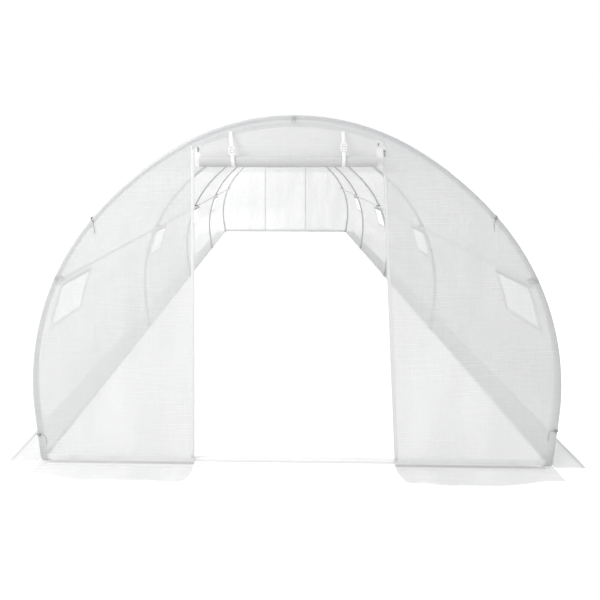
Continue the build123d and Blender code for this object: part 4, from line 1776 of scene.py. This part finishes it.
@dataclass
class SteelFrame:
    """The tube frame: it keeps its solids, and gets finishes, screws and ties."""

    tube: float = 0.0125
    joint_angle: float = math.radians(51.1)
    tie_angles: Pair = (math.radians(49.6), math.radians(48.8))
    tie_feet: Pair = (0.15, 0.205)
    tie_front: float = math.radians(112.0)
    tie_tail: float = 0.072
    foot_head: float = math.radians(120.0)
    foot_tail: float = 0.054
    foot_lead: float = 0.034
    lead_share: float = 0.4
    band_lift: float = 0.0022

    def build(self) -> None:
        """Dress the frame's solids and add its small fixings."""
        self.dress()
        self.screws()
        self.ties()

    def dress(self) -> None:
        """Give every solid of the frame its finish."""
        finishes = {
            "hoop": FINISH.hoop, "purlin": FINISH.rail, "rail": FINISH.rail,
            "clamps": FINISH.clamp, "connectors": FINISH.foot,
        }
        for name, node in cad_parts.items():
            found = [finish for word, finish in finishes.items() if word in name.split("_")]
            if found:
                node.data.materials.clear()
                node.data.materials.append(found[0].material())
                log.info("%s: %s", name, found[0].name)

    def screws(self) -> None:
        """Screws through the joints of each hoop, on the side that faces into the tunnel."""
        points, axes = [], []
        for hoop in ARCH.hoops:
            for side in Side:
                turn = side.value * self.joint_angle
                x, z = ARCH.hoop_point(turn, -self.tube - 0.0004)
                points.append((x, hoop, z))
                axes.append((-math.sin(turn), 0.0, -math.cos(turn)))
        mesh = bpy.data.meshes.new("work")
        mesh.from_pydata(points, [], [])
        set_values(mesh, "axis", np.array(axes))
        mesh = screw_tree().run(mesh, FINISH.screw.material())
        add_piece("joint_screws", mesh, FINISH.screw.material(), smooth=False)

    def ties(self) -> None:
        """Dark ties that hold cover and end sheet to the end hoops, by the joints and above the feet."""
        parts = []
        for end in End:
            for side, angle, foot in zip(Side, self.tie_angles, self.tie_feet):
                head = 0.0 if side is Side.LEFT else self.tie_front
                parts += self.tie(side.value * ARCH.run(angle), end, self.tie_tail, head)
                low = side.value * (ARCH.ground() - foot + ARCH.fold)
                parts += self.tie(low, end, self.foot_tail, self.foot_head, lead=self.foot_lead)
        add_piece("hoop_ties", merge(parts), FINISH.tie.material(), smooth=False)

    def tie(
        self, run: float, end: End, tail: float, head_turn: float, lead: float = 0.0
    ) -> list[Mesh]:
        """A tie through the sheets and round a hoop: its band, its head and the tail that hangs in front.

        Args:
            run: length along the arch from the crown.
            end: the end of the tunnel.
            tail: length of the tail.
            head_turn: where the head sits on the band, from the outside of the arch towards the end.
            lead: how far the tail runs inwards before it hangs.

        Returns:
            The tie's meshes.
        """
        x, z, angle = ARCH.at(run, -ARCH.sheet_out)
        out, ahead = Vector((math.sin(angle), 0, math.cos(angle))), Vector((0, end.value, 0))
        middle = Vector((x, end.value * ARCH.hoops[-1], z))
        axis = Vector((math.cos(angle), 0, -math.sin(angle)))
        front = ARCH.half_length - ARCH.hoops[-1] + self.band_lift
        over, bare = ARCH.sheet_out + self.band_lift, self.tube + 0.0009

        def spot(turn: float) -> Vector:
            """The place of the band at a turn from the outside of the arch."""
            c, s = math.cos(turn), math.sin(turn)
            return middle + out * c * (over if c > 0 else bare) + ahead * s * (front if s > 0 else bare)

        turns = np.linspace(0, math.tau, 41)
        rays = [(spot(t) - middle).normalized() for t in turns]
        band = swept([spot(t) for t in turns], [axis] * len(rays), rays, rounded(0.0062, 0.0012, 0.0004, 1))
        ray = (spot(head_turn) - middle).normalized()
        block = [spot(head_turn) + ray * 0.0032 + axis * k for k in (-0.0065, 0.0, 0.0065)]
        lock = swept(block, [axis.cross(ray)] * 3, [ray] * 3, rounded(0.011, 0.0062, 0.0015, 2))
        start = spot(self.tie_front) + ahead * 0.0016
        inward, bend, line = math.copysign(1.0, -run), self.lead_share if lead else 0.0, []
        for k in np.linspace(0, 1, 11):
            drop = max(0.0, (k - bend) / (1 - bend))
            along = lead * min(1.0, k / self.lead_share) + 0.010 * math.sin(2.2 * drop)
            line.append(start + Vector((inward * along, 0, -tail * drop)) + ahead * 0.002 * math.sin(3 * k))
        sides = [ahead.cross(heading).normalized() for heading in headings(line)]
        strip = swept(line, sides, [ahead] * len(line), rounded(0.0028, 0.0012, 0.0004, 1))
        return [band, lock, strip]


@dataclass(frozen=True)
class Lamp:
    """A soft square lamp: its name, place and aim, the side of its square and its power."""

    name: str
    place: Point
    aim: Point
    size: float
    power: float


@dataclass
class Studio:
    """Plain pale floor, soft light and the photograph's camera."""

    eye: Point = (-0.0644, -4.8446, 1.7213)
    turn: float = math.radians(0.8)
    focus: float = 327.0
    frame_size: float = 600.0
    middle: Pair = (278.07, 159.68)
    floor_glow: float = 0.10
    floor_seen: float = 0.50
    sky: float = 0.745
    sky_side: float = 0.19
    sky_up: float = 0.44
    sky_back: float = 0.06
    lamps: tuple[Lamp, ...] = (
        Lamp("front_left", (-2.8, -4.7, 3.2), (-0.9, -3.0, 1.2), 1.4, 52.0),
        Lamp("rear_left", (-2.6, 4.4, 2.4), (-0.4, 3.0, 1.0), 1.4, 54.0),
    )

    def build(self) -> None:
        """Make the floor, the lights and the camera."""
        self.floor()
        self.light()
        self.camera()

    def floor(self) -> None:
        """A wide plain floor that stays pale inside the tunnel too."""
        reach, under = 40.0, -0.0006
        corners = [(-reach, -reach), (reach, -reach), (reach, reach), (-reach, reach)]
        mesh = make_mesh(np.array([(x, y, under) for x, y in corners]), [[0, 1, 2, 3]])
        made = Material("pale_floor")
        seen = Field(made.graph, made.graph.node("ShaderNodeLightPath").outputs["Is Camera Ray"])
        body = {
            "Base Color": (0.70, 0.70, 0.70, 1.0),
            "Roughness": 0.9,
            "Emission Color": (1.0, 1.0, 1.0, 1.0),
            "Emission Strength": seen * self.floor_seen + self.floor_glow,
        }
        mesh.materials.append(made.finish(made.surface(body)))
        floor = bpy.data.objects.new("floor", mesh)
        bpy.context.scene.collection.objects.link(floor)

    def light(self) -> None:
        """A white surround, brighter from above, behind and the left, and two soft lamps on the left."""
        world = bpy.data.worlds.new("surround")
        world.use_nodes = True
        world.node_tree.nodes.clear()
        graph = Graph(world.node_tree)
        x, y, z = graph.split(graph.node("ShaderNodeTexCoord").outputs["Generated"])
        strength = z * self.sky_up + y * self.sky_back - x * self.sky_side + self.sky
        inputs = {0: graph.node("ShaderNodeLightPath").outputs["Is Camera Ray"]}
        for number, value in enumerate((strength, 1.0), start=1):
            white = {"Color": (1.0, 1.0, 1.0, 1.0), "Strength": value}
            inputs[number] = graph.fed("ShaderNodeBackground", white).outputs[0]
        both = graph.fed("ShaderNodeMixShader", inputs)
        graph.fed("ShaderNodeOutputWorld", {"Surface": both.outputs[0]})
        bpy.context.scene.world = world
        bpy.context.scene.view_settings.view_transform = "Standard"
        for lamp in self.lamps:
            data = bpy.data.lights.new(lamp.name, "AREA")
            data.energy, data.size = lamp.power, lamp.size
            made = bpy.data.objects.new(lamp.name, data)
            made.location = lamp.place
            made.rotation_euler = (Vector(lamp.aim) - Vector(lamp.place)).to_track_quat("-Z", "Y").to_euler()
            bpy.context.scene.collection.objects.link(made)

    def camera(self) -> None:
        """A level camera in front of the doorway, with the photograph's framing."""
        data = bpy.data.cameras.new("camera")
        data.sensor_width = 36.0
        data.lens = self.focus / self.frame_size * data.sensor_width
        data.shift_x = (self.frame_size / 2 - self.middle[0]) / self.frame_size
        data.shift_y = (self.middle[1] - self.frame_size / 2) / self.frame_size
        data.clip_end = 200.0
        camera = bpy.data.objects.new("camera", data)
        camera.location = self.eye
        camera.rotation_euler = (math.pi / 2, 0.0, self.turn)
        bpy.context.scene.collection.objects.link(camera)
        bpy.context.scene.camera = camera


def main() -> None:
    """Build the tunnel piece by piece."""
    logging.basicConfig(level=logging.INFO, format="%(name)s %(message)s")
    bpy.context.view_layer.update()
    door = FrontDoor()
    rear = RearDoor()
    corners = (math.radians(-33.0), math.radians(28.0))
    front_nodes = ("front_left_panel", "front_right_panel")
    rear_nodes = ("rear_left_panel", "rear_right_panel", "rear_transom")
    flap = 0.113
    parts = [
        SteelFrame(),
        Cover(),
        EndSheet(End.FRONT, door.outline(), corners, flap, front_nodes, 1.0),
        EndSheet(End.REAR, rear.outline(), corners, flap, rear_nodes, 6.0),
        door,
        rear,
        Studio(),
    ]
    for part in parts:
        part.build()
        log.info("%s is built", type(part).__name__)


if __name__ == "__main__":
    main()
